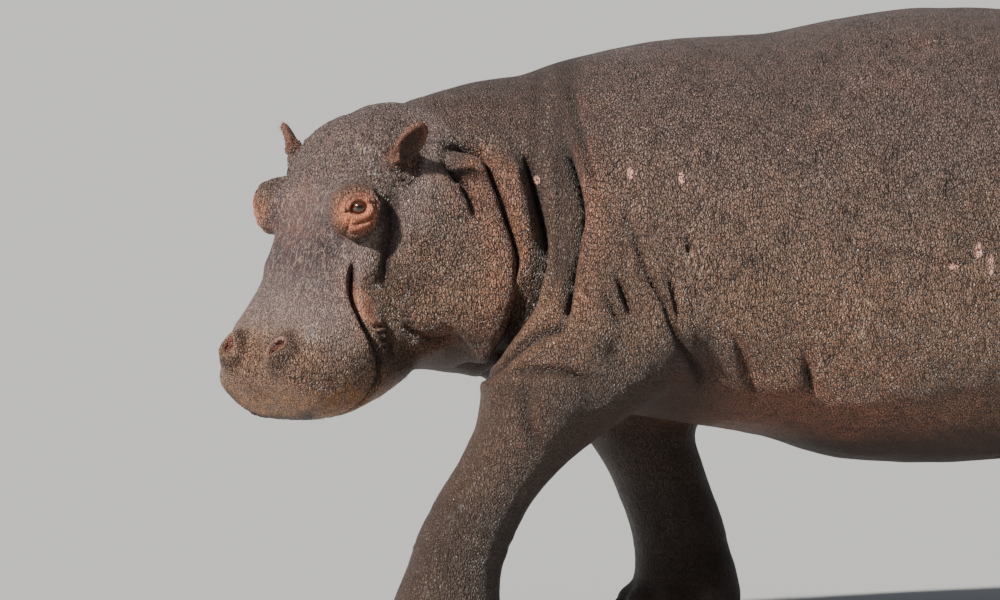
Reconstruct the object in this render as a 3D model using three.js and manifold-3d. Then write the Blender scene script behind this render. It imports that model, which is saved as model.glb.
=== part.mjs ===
// Life-size standing model of an adult hippopotamus in mid-stride, its head lowered and
// turned to its left. Millimetres, +Z up. The animal faces -X and its left side is -Y.
// The body is built from closed lofts: a superellipse section is carried along a straight
// axis, and named stations say how high, low and wide it is there. The head is lofted in a
// frame of its own, which is then pitched down and turned. Every solid keeps a thin gap to
// its neighbours.
import * as THREE from "three";
import { mergeVertices } from "three/addons/utils/BufferGeometryUtils.js";
import Module from "manifold-3d";

const wasm = await Module();
wasm.setup();

// ---------------------------------------------------------------- driving dimensions

const GAP = 0.35; // clearance between neighbouring solids
const NECK_CUT = 125; // where the neck meets the trunk, along X
const FOOT_CUT = 175; // height at which the foot is parted from the leg
const BODY_FULLNESS = 2.3; // superellipse exponent of trunk and neck sections
const BODY_TAPER = 0.08; // how much narrower a trunk section is at its top
const LEG_FULLNESS = 2.2;

// Trunk and neck along X: height of the back, height of the underside, half the width,
// sideways shift of the section, and height of the widest level as a share.
const TORSO = [
  { at: -360, top: 1205, low: 690, half: 182, side: -60, waist: 0.5 }, // inside the skull
  { at: -220, top: 1288, low: 650, half: 222, side: -38, waist: 0.5 }, // nape
  { at: -80, top: 1324, low: 628, half: 246, side: -16, waist: 0.5 }, // middle of the neck
  { at: 50, top: 1342, low: 610, half: 290, side: -4, waist: 0.49 }, // root of the neck
  { at: 170, top: 1378, low: 578, half: 368, side: 0, waist: 0.47 }, // front of the chest
  { at: 300, top: 1405, low: 530, half: 432, side: 0, waist: 0.45 }, // shoulder
  { at: 480, top: 1431, low: 500, half: 474, side: 0, waist: 0.44 }, // behind the shoulder
  { at: 660, top: 1438, low: 474, half: 498, side: 0, waist: 0.43 }, // girth
  { at: 850, top: 1472, low: 424, half: 518, side: 0, waist: 0.43 },
  { at: 1080, top: 1499, low: 407, half: 528, side: 0, waist: 0.43 }, // deepest belly
  { at: 1350, top: 1486, low: 414, half: 520, side: 0, waist: 0.44 }, // loin
  { at: 1600, top: 1450, low: 452, half: 496, side: 0, waist: 0.45 }, // flank
  { at: 1850, top: 1408, low: 530, half: 460, side: 0, waist: 0.47 }, // haunch
  { at: 2200, top: 1340, low: 640, half: 410, side: 0, waist: 0.5 }, // end of the rump
];
const RUMP_ROUND = { from: 1820, to: 2205, power: 2.5 };
const NAPE_ROUND = { from: -250, to: -392, power: 2.4 };

// Head in its own frame: x runs from the ears to the nostrils, y to the animal's left,
// z out of the forehead. "taper" narrows the top of a section against its bottom.
const HEAD_ORIGIN = [-395, -100, 1160];
const HEAD_PITCH = THREE.MathUtils.degToRad(57); // below the horizontal
const HEAD_YAW = THREE.MathUtils.degToRad(25); // towards the animal's left
const HEAD_FULLNESS = 3;
const HEAD = [
  { at: -160, top: 46, low: -330, half: 200, waist: 0.4, taper: 0.16 }, // behind the crown
  { at: -60, top: 68, low: -382, half: 240, waist: 0.34, taper: 0.2 }, // crown
  { at: 0, top: 76, low: -408, half: 262, waist: 0.3, taper: 0.23 }, // ears
  { at: 70, top: 70, low: -420, half: 280, waist: 0.27, taper: 0.28 }, // angle of the jaw
  { at: 130, top: 54, low: -412, half: 272, waist: 0.28, taper: 0.3 }, // forehead
  { at: 200, top: 38, low: -388, half: 236, waist: 0.32, taper: 0.26 }, // between the eyes
  { at: 270, top: 32, low: -362, half: 204, waist: 0.38, taper: 0.2 },
  { at: 340, top: 12, low: -348, half: 180, waist: 0.44, taper: 0.14 }, // narrow of the bridge
  { at: 405, top: -2, low: -344, half: 178, waist: 0.5, taper: 0.1 },
  { at: 465, top: -8, low: -332, half: 190, waist: 0.52, taper: 0.04 },
  { at: 525, top: -8, low: -298, half: 198, waist: 0.52, taper: 0.01 }, // widest of the muzzle
  { at: 590, top: -10, low: -248, half: 192, waist: 0.52, taper: 0 },
  { at: 640, top: -20, low: -212, half: 186, waist: 0.52, taper: 0 }, // end of the snout
];
const SNOUT_ROUND = { from: 535, to: 627, power: 3.3 };
const SKULL_ROUND = { from: 0, to: -175, power: 2.2 };
// The line of the lips, from in front of the snout to the corner of the mouth, and on to
// the back of the jaw, as [x, z] in the head's frame.
const LIP_LINE = [
  [720, -190],
  [640, -192],
  [580, -232],
  [530, -226],
  [475, -208],
  [440, -175],
  [411, -128],
  [350, -78],
  [295, -44], // corner of the mouth
  [170, -130],
  [20, -235],
  [-260, -330],
];

const BROW = { at: [157, 134, 22], size: [61, 60, 57] }; // bulge that carries an eye
const BROW_RIDGE = { at: [122, 0, 6], size: [88, 158, 54] }; // joins the two bulges
const EYE = { at: [161, 174, 34], radius: 26 };
const NOSE_MOUND = { at: [538, 86, -16], size: [52, 34, 26] };
const NOSTRIL = { at: [536, 88, 8], size: [24, 8, 24], turn: -0.55 };

// Ear: its root in the head's frame, the way it lies on each side, and its shape.
const EAR = {
  root: [22, 186, -2],
  left: { point: [-0.64, 0.66, 0.39], open: [0.45, 0.8, -0.1] }, // along it, out of its cup
  right: { point: [-0.65, 0.76, 0.06], open: [0.7, 0.58, 0.4] }, // laid further out
  length: 138,
  halfWidth: 37,
  thick: 15,
};

// Legs: stations from the sole up; "fore" is the half length along X, "out" the half width.
const FORELEG = [
  { at: 0, fore: 136, out: 130 }, // sole
  { at: 55, fore: 137, out: 131 },
  { at: 115, fore: 124, out: 119 },
  { at: 200, fore: 112, out: 108 }, // pastern
  { at: 320, fore: 113, out: 111 }, // wrist
  { at: 420, fore: 124, out: 121 }, // forearm
  { at: 500, fore: 155, out: 140 }, // elbow
  { at: 650, fore: 232, out: 162 }, // upper arm
  { at: 840, fore: 222, out: 156 }, // shoulder
  { at: 1010, fore: 170, out: 116 },
];
const HINDLEG = [
  { at: 0, fore: 130, out: 124 },
  { at: 55, fore: 131, out: 125 },
  { at: 115, fore: 118, out: 113 },
  { at: 220, fore: 106, out: 103 },
  { at: 330, fore: 118, out: 112 }, // hock
  { at: 450, fore: 158, out: 138 }, // shank
  { at: 600, fore: 232, out: 176 }, // stifle
  { at: 800, fore: 290, out: 200 }, // thigh
  { at: 1000, fore: 276, out: 182 },
  { at: 1140, fore: 214, out: 130 },
];
// Where each leg's centre runs: [height, X, distance out from the middle plane].
const LEGS = {
  front_left: {
    stations: FORELEG,
    side: -1,
    path: [
      [0, -216, 284],
      [110, -206, 286],
      [200, -184, 288],
      [320, -132, 292],
      [420, -60, 298],
      [500, 12, 302],
      [650, 132, 306],
      [840, 222, 292],
      [1010, 256, 250],
    ],
  },
  front_right: {
    stations: FORELEG,
    side: 1,
    path: [
      [0, 536, 284],
      [110, 546, 286],
      [200, 532, 288],
      [320, 492, 292],
      [420, 448, 298],
      [500, 408, 302],
      [650, 340, 306],
      [840, 290, 292],
      [1010, 278, 250],
    ],
  },
  hind_left: {
    stations: HINDLEG,
    side: -1,
    path: [
      [0, 1962, 262],
      [110, 1984, 264],
      [220, 1996, 266],
      [330, 1972, 270],
      [450, 1908, 276],
      [600, 1846, 288],
      [800, 1816, 290],
      [1000, 1810, 268],
      [1140, 1808, 240],
    ],
  },
  hind_right: {
    stations: HINDLEG,
    side: 1,
    path: [
      [0, 1640, 262],
      [110, 1662, 264],
      [220, 1692, 266],
      [330, 1706, 270],
      [450, 1712, 276],
      [600, 1742, 288],
      [800, 1782, 290],
      [1000, 1796, 268],
      [1140, 1800, 240],
    ],
  },
};

// Four toes on each foot, as angles from straight ahead, with a broad nail on each.
const TOE_ANGLES = [-66, -22, 22, 66].map(THREE.MathUtils.degToRad);
const TOE = { reach: 0.8, height: 44, size: [52, 46, 46] };
const NAIL = { reach: 1.14, height: 36, size: [17, 31, 25] };

// Tail: hangs from the rump; stations from its root down, flattened towards its end.
const TAIL = [
  { at: 1190, centre: 2104, fore: 62, out: 62 },
  { at: 1110, centre: 2172, fore: 54, out: 56 },
  { at: 1030, centre: 2214, fore: 44, out: 46 },
  { at: 930, centre: 2240, fore: 34, out: 38 },
  { at: 820, centre: 2248, fore: 27, out: 30 },
  { at: 730, centre: 2248, fore: 25, out: 19 },
  { at: 660, centre: 2246, fore: 19, out: 10 },
];

// ---------------------------------------------------------------- curves and sections

// A smooth curve through points (xs ascending, ys) that never overshoots them.
function smoothCurve(xs, ys) {
  const steps = xs.slice(1).map((x, i) => x - xs[i]);
  const slopes = steps.map((step, i) => (ys[i + 1] - ys[i]) / step);
  const tangents = ys.map((_, i) => {
    if (i === 0) return slopes[0];
    if (i === ys.length - 1) return slopes[i - 1];
    if (slopes[i - 1] * slopes[i] <= 0) return 0;
    const before = 2 * steps[i] + steps[i - 1];
    const after = steps[i] + 2 * steps[i - 1];
    return (before + after) / (before / slopes[i - 1] + after / slopes[i]);
  });
  return (x) => {
    const inside = THREE.MathUtils.clamp(x, xs[0], xs[xs.length - 1]);
    let i = 0;
    while (i < xs.length - 2 && inside > xs[i + 1]) i += 1;
    const t = (inside - xs[i]) / steps[i];
    const a = ys[i] * (1 + 2 * t) * (1 - t) ** 2 + ys[i + 1] * t * t * (3 - 2 * t);
    const b = tangents[i] * t * (1 - t) ** 2 - tangents[i + 1] * t * t * (1 - t);
    return a + steps[i] * b;
  };
}

// One smooth curve for each named size of a list of stations.
function curvesOf(stations) {
  const sorted = [...stations].sort((a, b) => a.at - b.at);
  const xs = sorted.map((station) => station.at);
  const names = Object.keys(sorted[0]).filter((name) => name !== "at");
  return Object.fromEntries(
    names.map((name) => [name, smoothCurve(xs, sorted.map((station) => station[name]))]),
  );
}

// 1 up to the start of a rounded end, falling to 0 at its tip.
function rounding(x, { from, to, power }) {
  const share = THREE.MathUtils.clamp((x - from) / (to - from), 0, 1);
  return (1 - share ** power) ** (1 / power);
}

const powered = (value, power) => Math.sign(value) * Math.abs(value) ** power;

// Positions along an axis: evenly spaced, then closer together towards rounded ends.
function ringPlaces(from, to, count, crowdStart, crowdEnd) {
  const places = [];
  for (let i = 0; i <= count; i += 1) {
    let share = i / count;
    if (crowdStart) share = 1 - Math.cos((share * Math.PI) / 2) ** 0.9;
    if (crowdEnd) share = Math.sin((share * Math.PI) / 2) ** 0.9;
    places.push(from + (to - from) * share);
  }
  return places;
}

// A closed body through rings of points, with a fan over each end.
function loftOf(rings) {
  const around = rings[0].length;
  const positions = [];
  const faces = [];
  const put = (point) => positions.push(point.x, point.y, point.z) / 3 - 1;
  const starts = rings.map((ring) => ring.map(put)[0]);
  for (let r = 0; r < rings.length - 1; r += 1)
    for (let i = 0; i < around; i += 1) {
      const next = (i + 1) % around;
      const [a, b] = [starts[r] + i, starts[r] + next];
      const [c, d] = [starts[r + 1] + i, starts[r + 1] + next];
      faces.push(a, b, d, a, d, c);
    }
  const closeEnd = (ring, start, flip) => {
    const middle = new THREE.Vector3();
    for (const point of ring) middle.addScaledVector(point, 1 / around);
    const centre = put(middle);
    for (let i = 0; i < around; i += 1) {
      const [a, b] = [start + i, start + ((i + 1) % around)];
      faces.push(...(flip ? [centre, b, a] : [centre, a, b]));
    }
  };
  closeEnd(rings[0], starts[0], true);
  closeEnd(rings[rings.length - 1], starts[starts.length - 1], false);
  const geometry = new THREE.BufferGeometry();
  geometry.setAttribute("position", new THREE.Float32BufferAttribute(positions, 3));
  geometry.setIndex(faces);
  return geometry;
}

// ---------------------------------------------------------------- solids and booleans

// A closed geometry as a solid whose faces point out.
function solidOf(geometry) {
  const bare = geometry.clone();
  bare.deleteAttribute("normal");
  bare.deleteAttribute("uv");
  const merged = mergeVertices(bare, 1e-3);
  const build = (indices) =>
    new wasm.Manifold(
      new wasm.Mesh({
        numProp: 3,
        vertProperties: merged.attributes.position.array,
        triVerts: new Uint32Array(indices),
      }),
    );
  const solid = build(merged.index.array);
  return solid.volume() > 0 ? solid : build([...merged.index.array].reverse());
}

function geometryOf(solid) {
  const mesh = solid.getMesh();
  const geometry = new THREE.BufferGeometry();
  const count = mesh.vertProperties.length / mesh.numProp;
  const positions = new Float32Array(count * 3);
  for (let i = 0; i < count; i += 1)
    for (let k = 0; k < 3; k += 1)
      positions[3 * i + k] = mesh.vertProperties[mesh.numProp * i + k];
  geometry.setAttribute("position", new THREE.BufferAttribute(positions, 3));
  geometry.setIndex(new THREE.BufferAttribute(mesh.triVerts, 1));
  return geometry;
}

// The largest piece of a solid, and all its pieces from large to small.
const piecesOf = (solid) => solid.decompose().sort((a, b) => b.volume() - a.volume());
const largest = (solid) => piecesOf(solid)[0];
const joined = (solids) => solids.reduce((sum, solid) => sum.add(solid));
const cutBy = (solid, ...others) => others.reduce((left, other) => left.subtract(other), solid);

function ball({ at, size }, grow = 0, [columns, rows] = [12, 8]) {
  const geometry = new THREE.SphereGeometry(1, columns, rows);
  geometry.scale(...size.map((half) => half + grow));
  geometry.translate(...at);
  return geometry;
}

function block(low, high) {
  const size = high.map((value, i) => value - low[i]);
  const geometry = new THREE.BoxGeometry(...size);
  geometry.translate(...high.map((value, i) => (value + low[i]) / 2));
  return geometry;
}

const mirrored = ([x, y, z], side) => [x, y * side, z];

// ---------------------------------------------------------------- trunk and neck

function torsoSection(curves, x, around, grow) {
  const round = rounding(x, RUMP_ROUND) * rounding(x, NAPE_ROUND);
  const [top, low] = [curves.top(x) + grow, curves.low(x) - grow];
  const middle = low + (top - low) * curves.waist(x);
  const ring = [];
  for (let i = 0; i < around; i += 1) {
    const angle = (2 * Math.PI * i) / around;
    const [across, up] = [Math.cos(angle), Math.sin(angle)];
    const half = (curves.half(x) + grow) * (1 - BODY_TAPER * up) * round;
    const y = curves.side(x) + half * powered(across, 2 / BODY_FULLNESS);
    const rise = (up > 0 ? top - middle : middle - low) * round;
    const along = x + (x < 0 ? -grow : grow);
    ring.push(new THREE.Vector3(along, y, middle + rise * powered(up, 2 / BODY_FULLNESS)));
  }
  return ring;
}

function torsoLoft(grow = 0) {
  const curves = curvesOf(TORSO);
  const [around, barrel] = [26, 10];
  const places = [
    ...ringPlaces(NAPE_ROUND.to + 8, NAPE_ROUND.from, 3, true, false),
    ...ringPlaces(NAPE_ROUND.from, RUMP_ROUND.from, barrel, false, false).slice(1),
    ...ringPlaces(RUMP_ROUND.from, RUMP_ROUND.to - 4, 6, false, true).slice(1),
  ];
  return loftOf(places.map((x) => torsoSection(curves, x, around, grow)));
}

// ---------------------------------------------------------------- head

function headSection(curves, x, around, grow) {
  const round = rounding(x, SNOUT_ROUND) * rounding(x, SKULL_ROUND);
  const [top, low] = [curves.top(x) + grow, curves.low(x) - grow];
  const middle = low + (top - low) * curves.waist(x);
  const ring = [];
  for (let i = 0; i < around; i += 1) {
    const angle = (2 * Math.PI * i) / around;
    const [across, up] = [Math.cos(angle), Math.sin(angle)];
    const half = (curves.half(x) + grow) * (1 - curves.taper(x) * up) * round;
    const rise = (up > 0 ? top - middle : middle - low) * round;
    ring.push(
      new THREE.Vector3(
        x + (x < 0 ? -grow : grow),
        half * powered(across, 2 / HEAD_FULLNESS),
        middle + rise * powered(up, 2 / HEAD_FULLNESS),
      ),
    );
  }
  return ring;
}

function headLoft(grow = 0) {
  const curves = curvesOf(HEAD);
  const around = 24;
  const places = [
    ...ringPlaces(SKULL_ROUND.to + 3, SKULL_ROUND.from, 3, true, false),
    ...ringPlaces(SKULL_ROUND.from, SNOUT_ROUND.from, 9, false, false).slice(1),
    ...ringPlaces(SNOUT_ROUND.from, SNOUT_ROUND.to - 1, 4, false, true).slice(1),
  ];
  return loftOf(places.map((x) => headSection(curves, x, around, grow)));
}

// The head with its brows and nose mounds, before sockets and mouth are cut.
function wholeHead(grow = 0) {
  const bulges = [1, -1].flatMap((side) => [
    solidOf(ball({ at: mirrored(BROW.at, side), size: BROW.size }, grow, [10, 7])),
    solidOf(ball({ at: mirrored(NOSE_MOUND.at, side), size: NOSE_MOUND.size }, grow, [8, 5])),
  ]);
  const ridge = solidOf(ball(BROW_RIDGE, grow, [10, 6]));
  return joined([solidOf(headLoft(grow)), ridge, ...bulges]);
}

// A thin sheet along the line of the lips, right across the head.
function mouthSheet() {
  const outline = [
    ...LIP_LINE.map(([x, z]) => new THREE.Vector2(x, z + GAP / 2)),
    ...[...LIP_LINE].reverse().map(([x, z]) => new THREE.Vector2(x, z - GAP / 2)),
  ];
  const reach = 300;
  const sheet = new THREE.ExtrudeGeometry(new THREE.Shape(outline), {
    depth: 2 * reach,
    bevelEnabled: false,
  });
  sheet.rotateX(Math.PI / 2); // the outline's second axis becomes z, the depth runs along -y
  sheet.translate(0, reach, 0);
  return sheet;
}

function nostrilCutter(side) {
  const geometry = new THREE.SphereGeometry(1, 8, 6);
  geometry.scale(...NOSTRIL.size);
  geometry.rotateZ(NOSTRIL.turn * side);
  geometry.translate(...mirrored(NOSTRIL.at, side));
  return solidOf(geometry);
}

// Ear: an oval leaf carried along its own axis, with a shallow cup in its open side.
function earSolid(side) {
  const lie = side > 0 ? EAR.left : EAR.right;
  const along = new THREE.Vector3(...mirrored(lie.point, side)).normalize();
  const open = new THREE.Vector3(...mirrored(lie.open, side));
  open.addScaledVector(along, -open.dot(along)).normalize();
  const wide = new THREE.Vector3().crossVectors(along, open).normalize();
  const root = new THREE.Vector3(...mirrored(EAR.root, side));
  const width = smoothCurve([-40, 0, 32, 78, 116, EAR.length], [26, 26, 31, EAR.halfWidth, 28, 5]);
  const depth = smoothCurve([-40, 0, 32, 78, EAR.length], [26, 24, 18, EAR.thick, 5]);
  const around = 12;
  const rings = [-38, 0, 30, 60, 90, 118, EAR.length].map((distance) => {
    const ring = [];
    for (let i = 0; i < around; i += 1) {
      const angle = (2 * Math.PI * i) / around;
      ring.push(
        root
          .clone()
          .addScaledVector(along, distance)
          .addScaledVector(wide, width(distance) * Math.cos(angle))
          .addScaledVector(open, depth(distance) * Math.sin(angle)),
      );
    }
    return ring;
  });
  const cup = new THREE.SphereGeometry(1, 8, 6);
  cup.applyMatrix4(
    new THREE.Matrix4()
      .makeBasis(wide, open, along)
      .scale(new THREE.Vector3(EAR.halfWidth - 9, EAR.thick, EAR.length * 0.36))
      .setPosition(
        root
          .clone()
          .addScaledVector(along, EAR.length * 0.56)
          .addScaledVector(open, EAR.thick * 0.85),
      ),
  );
  return largest(cutBy(solidOf(loftOf(rings)), solidOf(cup)));
}

// ---------------------------------------------------------------- legs, toes and tail

const heightsOf = (points, column) =>
  smoothCurve(
    points.map((point) => point[0]),
    points.map((point) => point[column]),
  );

function flatRing(z, centreX, centreY, fore, out, around, fullness) {
  const ring = [];
  for (let i = 0; i < around; i += 1) {
    const angle = (2 * Math.PI * i) / around;
    ring.push(
      new THREE.Vector3(
        centreX + fore * powered(Math.cos(angle), 2 / fullness),
        centreY + out * powered(Math.sin(angle), 2 / fullness),
        z,
      ),
    );
  }
  return ring;
}

function legLoft({ stations, side, path }) {
  const sizes = curvesOf(stations);
  const [centreX, centreY] = [heightsOf(path, 1), heightsOf(path, 2)];
  const top = stations[stations.length - 1].at;
  const heights = [0, 55, 115, 240, 320, 400, 480, 570, 670, 780, 900, top];
  return loftOf(
    heights.map((z) =>
      flatRing(z, centreX(z), side * centreY(z), sizes.fore(z), sizes.out(z), 16, LEG_FULLNESS),
    ),
  );
}

// A place on the rim of a foot: share of the sole's half sizes, in the toe's direction.
function rimPlace({ stations, side, path }, angle, share, height) {
  const [sole] = stations;
  return [
    path[0][1] - sole.fore * share * Math.cos(angle),
    side * path[0][2] + sole.out * share * Math.sin(angle),
    height,
  ];
}

function toeSolid(leg, angle) {
  const geometry = new THREE.SphereGeometry(1, 8, 5);
  geometry.scale(...TOE.size);
  geometry.rotateZ(-angle);
  geometry.translate(...rimPlace(leg, angle, TOE.reach, TOE.height));
  return solidOf(geometry);
}

function nailSolid(leg, angle, grow = 0) {
  const geometry = new THREE.SphereGeometry(1, 6, 4);
  geometry.scale(...NAIL.size.map((half) => half + grow));
  geometry.rotateZ(-angle);
  geometry.translate(...rimPlace(leg, angle, NAIL.reach, NAIL.height));
  return solidOf(geometry);
}

function tailLoft() {
  const sizes = curvesOf(TAIL);
  const [root, tip] = [TAIL[0].at, TAIL[TAIL.length - 1].at];
  const rings = ringPlaces(root, tip, 7, false, false).map((z) =>
    flatRing(z, sizes.centre(z), 0, sizes.fore(z), sizes.out(z), 10, 2),
  );
  return loftOf(rings);
}

// ---------------------------------------------------------------- materials and assembly

const finish = (color, roughness, metalness = 0) =>
  new THREE.MeshStandardMaterial({ color, roughness, metalness, flatShading: true });
const HIDE = finish(0x5e4a42, 0.72);
const EAR_SKIN = finish(0x8a5a48, 0.75);
const EYE_GLOSS = finish(0x1a100c, 0.08);
const NAIL_HORN = finish(0x3a322c, 0.5);

const hippo = new THREE.Group();
const headFrame = new THREE.Group(); // carries the pieces made in the head's own frame
hippo.add(headFrame);

const [pitchSin, pitchCos] = [Math.sin(HEAD_PITCH), Math.cos(HEAD_PITCH)];
const [yawSin, yawCos] = [Math.sin(HEAD_YAW), Math.cos(HEAD_YAW)];
const forward = new THREE.Vector3(-yawCos * pitchCos, -yawSin * pitchCos, -pitchSin);
const leftward = new THREE.Vector3(yawSin, -yawCos, 0);
const outward = new THREE.Vector3().crossVectors(forward, leftward);
const headMatrix = new THREE.Matrix4().makeBasis(forward, leftward, outward);
headMatrix.setPosition(...HEAD_ORIGIN);
headFrame.applyMatrix4(headMatrix);

// The same solid, moved from the head's frame into the body's.
const inBody = (solid) => solidOf(geometryOf(solid).applyMatrix4(headMatrix));

function addMesh(parent, name, solid, material) {
  const mesh = new THREE.Mesh(geometryOf(solid), material);
  mesh.name = name;
  parent.add(mesh);
}

function addHead() {
  const eyes = [1, -1].map((side) => ({
    name: side > 0 ? "eye_left" : "eye_right",
    at: mirrored(EYE.at, side),
  }));
  const socketSize = Array(3).fill(EYE.radius + GAP);
  const sockets = eyes.map(({ at }) => solidOf(ball({ at, size: socketSize }, 0, [10, 8])));
  const whole = cutBy(wholeHead(), ...sockets, nostrilCutter(1), nostrilCutter(-1));
  const [skull, jaw] = piecesOf(cutBy(whole, solidOf(mouthSheet())));
  addMesh(headFrame, "head", skull, HIDE);
  addMesh(headFrame, "lower_jaw", jaw, HIDE);
  const eyeSize = Array(3).fill(EYE.radius);
  for (const { name, at } of eyes)
    addMesh(headFrame, name, solidOf(ball({ at, size: eyeSize }, 0, [10, 8])), EYE_GLOSS);
  for (const side of [1, -1]) {
    const ear = largest(cutBy(earSolid(side), wholeHead(GAP)));
    addMesh(headFrame, side > 0 ? "ear_left" : "ear_right", ear, EAR_SKIN);
  }
}

function addTorso() {
  const torso = solidOf(torsoLoft());
  const reach = 3000;
  const ahead = solidOf(block([-reach, -reach, -reach], [NECK_CUT + GAP / 2, reach, reach]));
  const behind = solidOf(block([NECK_CUT - GAP / 2, -reach, -reach], [reach, reach, reach]));
  const ears = [1, -1].map((side) => inBody(earSolid(side)));
  addMesh(hippo, "trunk", largest(torso.subtract(ahead)), HIDE);
  const neck = cutBy(torso.subtract(behind), inBody(wholeHead(GAP)), ...ears);
  addMesh(hippo, "neck", largest(neck), HIDE);
}

function addLegs() {
  const inflatedTorso = solidOf(torsoLoft(GAP));
  const reach = 3000;
  const underFloor = solidOf(block([-reach, -reach, -reach], [reach, reach, 0]));
  const aboveCut = solidOf(block([-reach, -reach, FOOT_CUT - GAP / 2], [reach, reach, reach]));
  const belowCut = solidOf(block([-reach, -reach, -reach], [reach, reach, FOOT_CUT + GAP / 2]));
  for (const [name, leg] of Object.entries(LEGS)) {
    const limb = solidOf(legLoft(leg));
    const toes = TOE_ANGLES.map((angle) => toeSolid(leg, angle));
    const nailBeds = TOE_ANGLES.map((angle) => nailSolid(leg, angle, GAP));
    const foot = cutBy(joined([limb, ...toes]), underFloor, aboveCut, ...nailBeds);
    addMesh(hippo, `leg_${name}`, largest(cutBy(limb, belowCut, inflatedTorso)), HIDE);
    addMesh(hippo, `foot_${name}`, largest(foot), HIDE);
    TOE_ANGLES.forEach((angle, i) =>
      addMesh(hippo, `nail_${name}_${i + 1}`, nailSolid(leg, angle), NAIL_HORN),
    );
  }
  addMesh(hippo, "tail", largest(cutBy(solidOf(tailLoft()), inflatedTorso)), HIDE);
}

addHead();
addTorso();
addLegs();

// The frame's origin is the middle of the footprint, on the floor.
const bounds = new THREE.Box3().setFromObject(hippo, true);
const middle = bounds.getCenter(new THREE.Vector3());
hippo.position.set(-middle.x, -middle.y, -bounds.min.z);

export default hippo;
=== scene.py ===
"""A life-size adult hippopotamus in mid-stride, its head lowered and turned to its left.

The hide is one closed surface. Its shape is a distance field, the smooth union of lofts for
trunk, head, legs, ears and tail, worked out with numpy in millimetres in the body's frame:
the animal faces -X, its left side is -Y and the ground is Z = 0. A net is laid over the
field, refined where the forms are small, drawn onto the field again, and then pushed in and
out along its normals for folds, creases, lids, lips and nostrils.
"""

import logging
from dataclasses import dataclass
from enum import Enum
from functools import cached_property
from typing import Callable, Sequence

import bpy
import numpy as np
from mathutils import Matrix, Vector


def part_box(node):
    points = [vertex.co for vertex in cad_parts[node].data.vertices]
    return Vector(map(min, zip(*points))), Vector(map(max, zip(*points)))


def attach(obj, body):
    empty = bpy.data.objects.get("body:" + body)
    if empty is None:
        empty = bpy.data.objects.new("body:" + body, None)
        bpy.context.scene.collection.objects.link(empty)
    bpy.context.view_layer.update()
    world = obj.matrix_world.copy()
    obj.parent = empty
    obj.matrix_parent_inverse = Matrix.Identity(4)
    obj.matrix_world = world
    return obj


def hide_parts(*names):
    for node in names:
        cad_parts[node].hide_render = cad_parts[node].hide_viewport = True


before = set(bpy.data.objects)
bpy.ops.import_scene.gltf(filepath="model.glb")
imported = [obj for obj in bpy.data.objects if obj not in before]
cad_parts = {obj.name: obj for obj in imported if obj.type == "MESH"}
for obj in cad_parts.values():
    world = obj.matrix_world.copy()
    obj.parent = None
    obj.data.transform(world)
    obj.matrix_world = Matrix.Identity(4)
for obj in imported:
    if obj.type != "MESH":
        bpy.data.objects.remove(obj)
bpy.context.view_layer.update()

MM = 0.001  # the frame is in metres, the sizes here are in millimetres
LOG = logging.getLogger("hippopotamus")
Array = np.ndarray
Triple = tuple[float, float, float]
Field = Callable[[Array], Array]  # distances at places
Material, Piece = bpy.types.Material, bpy.types.Object


# ---- curves and distances


@dataclass(frozen=True)
class Curve:
    """A smooth curve through stations that never overshoots them."""

    places: tuple[float, ...]
    values: tuple[float, ...]

    @cached_property
    def _pieces(self) -> tuple[Array, Array, Array]:
        """The stations and the slope at each: the weighted harmonic mean of its neighbours'."""
        xs, ys = np.array(self.places, float), np.array(self.values, float)
        steps = np.diff(xs)
        slopes = np.diff(ys) / steps
        tangents = np.concatenate([slopes[:1], np.zeros(len(xs) - 2), slopes[-1:]])
        before, after = 2 * steps[1:] + steps[:-1], steps[1:] + 2 * steps[:-1]
        same = slopes[:-1] * slopes[1:] > 0
        left, right = np.where(same, slopes[:-1], 1), np.where(same, slopes[1:], 1)
        inner = (before + after) / (before / left + after / right)
        tangents[1:-1] = np.where(same, inner, 0)
        return xs, ys, tangents

    def __call__(self, x: Array) -> Array:
        """The curve's values at x, held level beyond its ends, by cubic Hermite pieces."""
        xs, ys, tangents = self._pieces
        x = np.clip(x, xs[0], xs[-1])
        i = np.clip(np.searchsorted(xs, x, side="right") - 1, 0, len(xs) - 2)
        step = xs[i + 1] - xs[i]
        t = (x - xs[i]) / step
        ends = ys[i] * (1 + 2 * t) * (1 - t) ** 2 + ys[i + 1] * t * t * (3 - 2 * t)
        bends = tangents[i] * t * (1 - t) ** 2 - tangents[i + 1] * t * t * (1 - t)
        return ends + step * bends


@dataclass(frozen=True)
class RoundedEnd:
    """Lets a loft's sections shrink from a start to nothing at an end, as a superellipse does."""

    start: float
    end: float
    power: float

    def __call__(self, x: Array) -> Array:
        """The share of its size that a section at x keeps."""
        share = np.clip((x - self.start) / (self.end - self.start), 0, 1)
        return (1 - share**self.power) ** (1 / self.power)


def fuse(a: Array, b: Array, blend: Array | float) -> Array:
    """The smaller of two distances, with a fillet where they differ by less than blend."""
    overlap = np.maximum(blend - np.abs(a - b), 0) / blend
    return np.minimum(a, b) - overlap * overlap * blend / 4


def smooth_cut(a: Array, b: Array, blend: float) -> Array:
    """The distance to a with b cut out of it, with rounded edges."""
    return -fuse(-a, b, blend)


def ramp(low: float, high: float, x: Array) -> Array:
    """0 below low, 1 above high, and an S-shaped rise between them."""
    t = np.clip((x - low) / (high - low), 0, 1)
    return t * t * (3 - 2 * t)


def bell(x: Array, width: float) -> Array:
    """A Gaussian bell, 1 in the middle and 0.37 at one width from it."""
    return np.exp(-((x / width) ** 2))


def unit(vectors: Array) -> Array:
    """Vectors brought to length 1."""
    return vectors / np.maximum(np.linalg.norm(vectors, axis=-1, keepdims=True), 1e-12)


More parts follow.
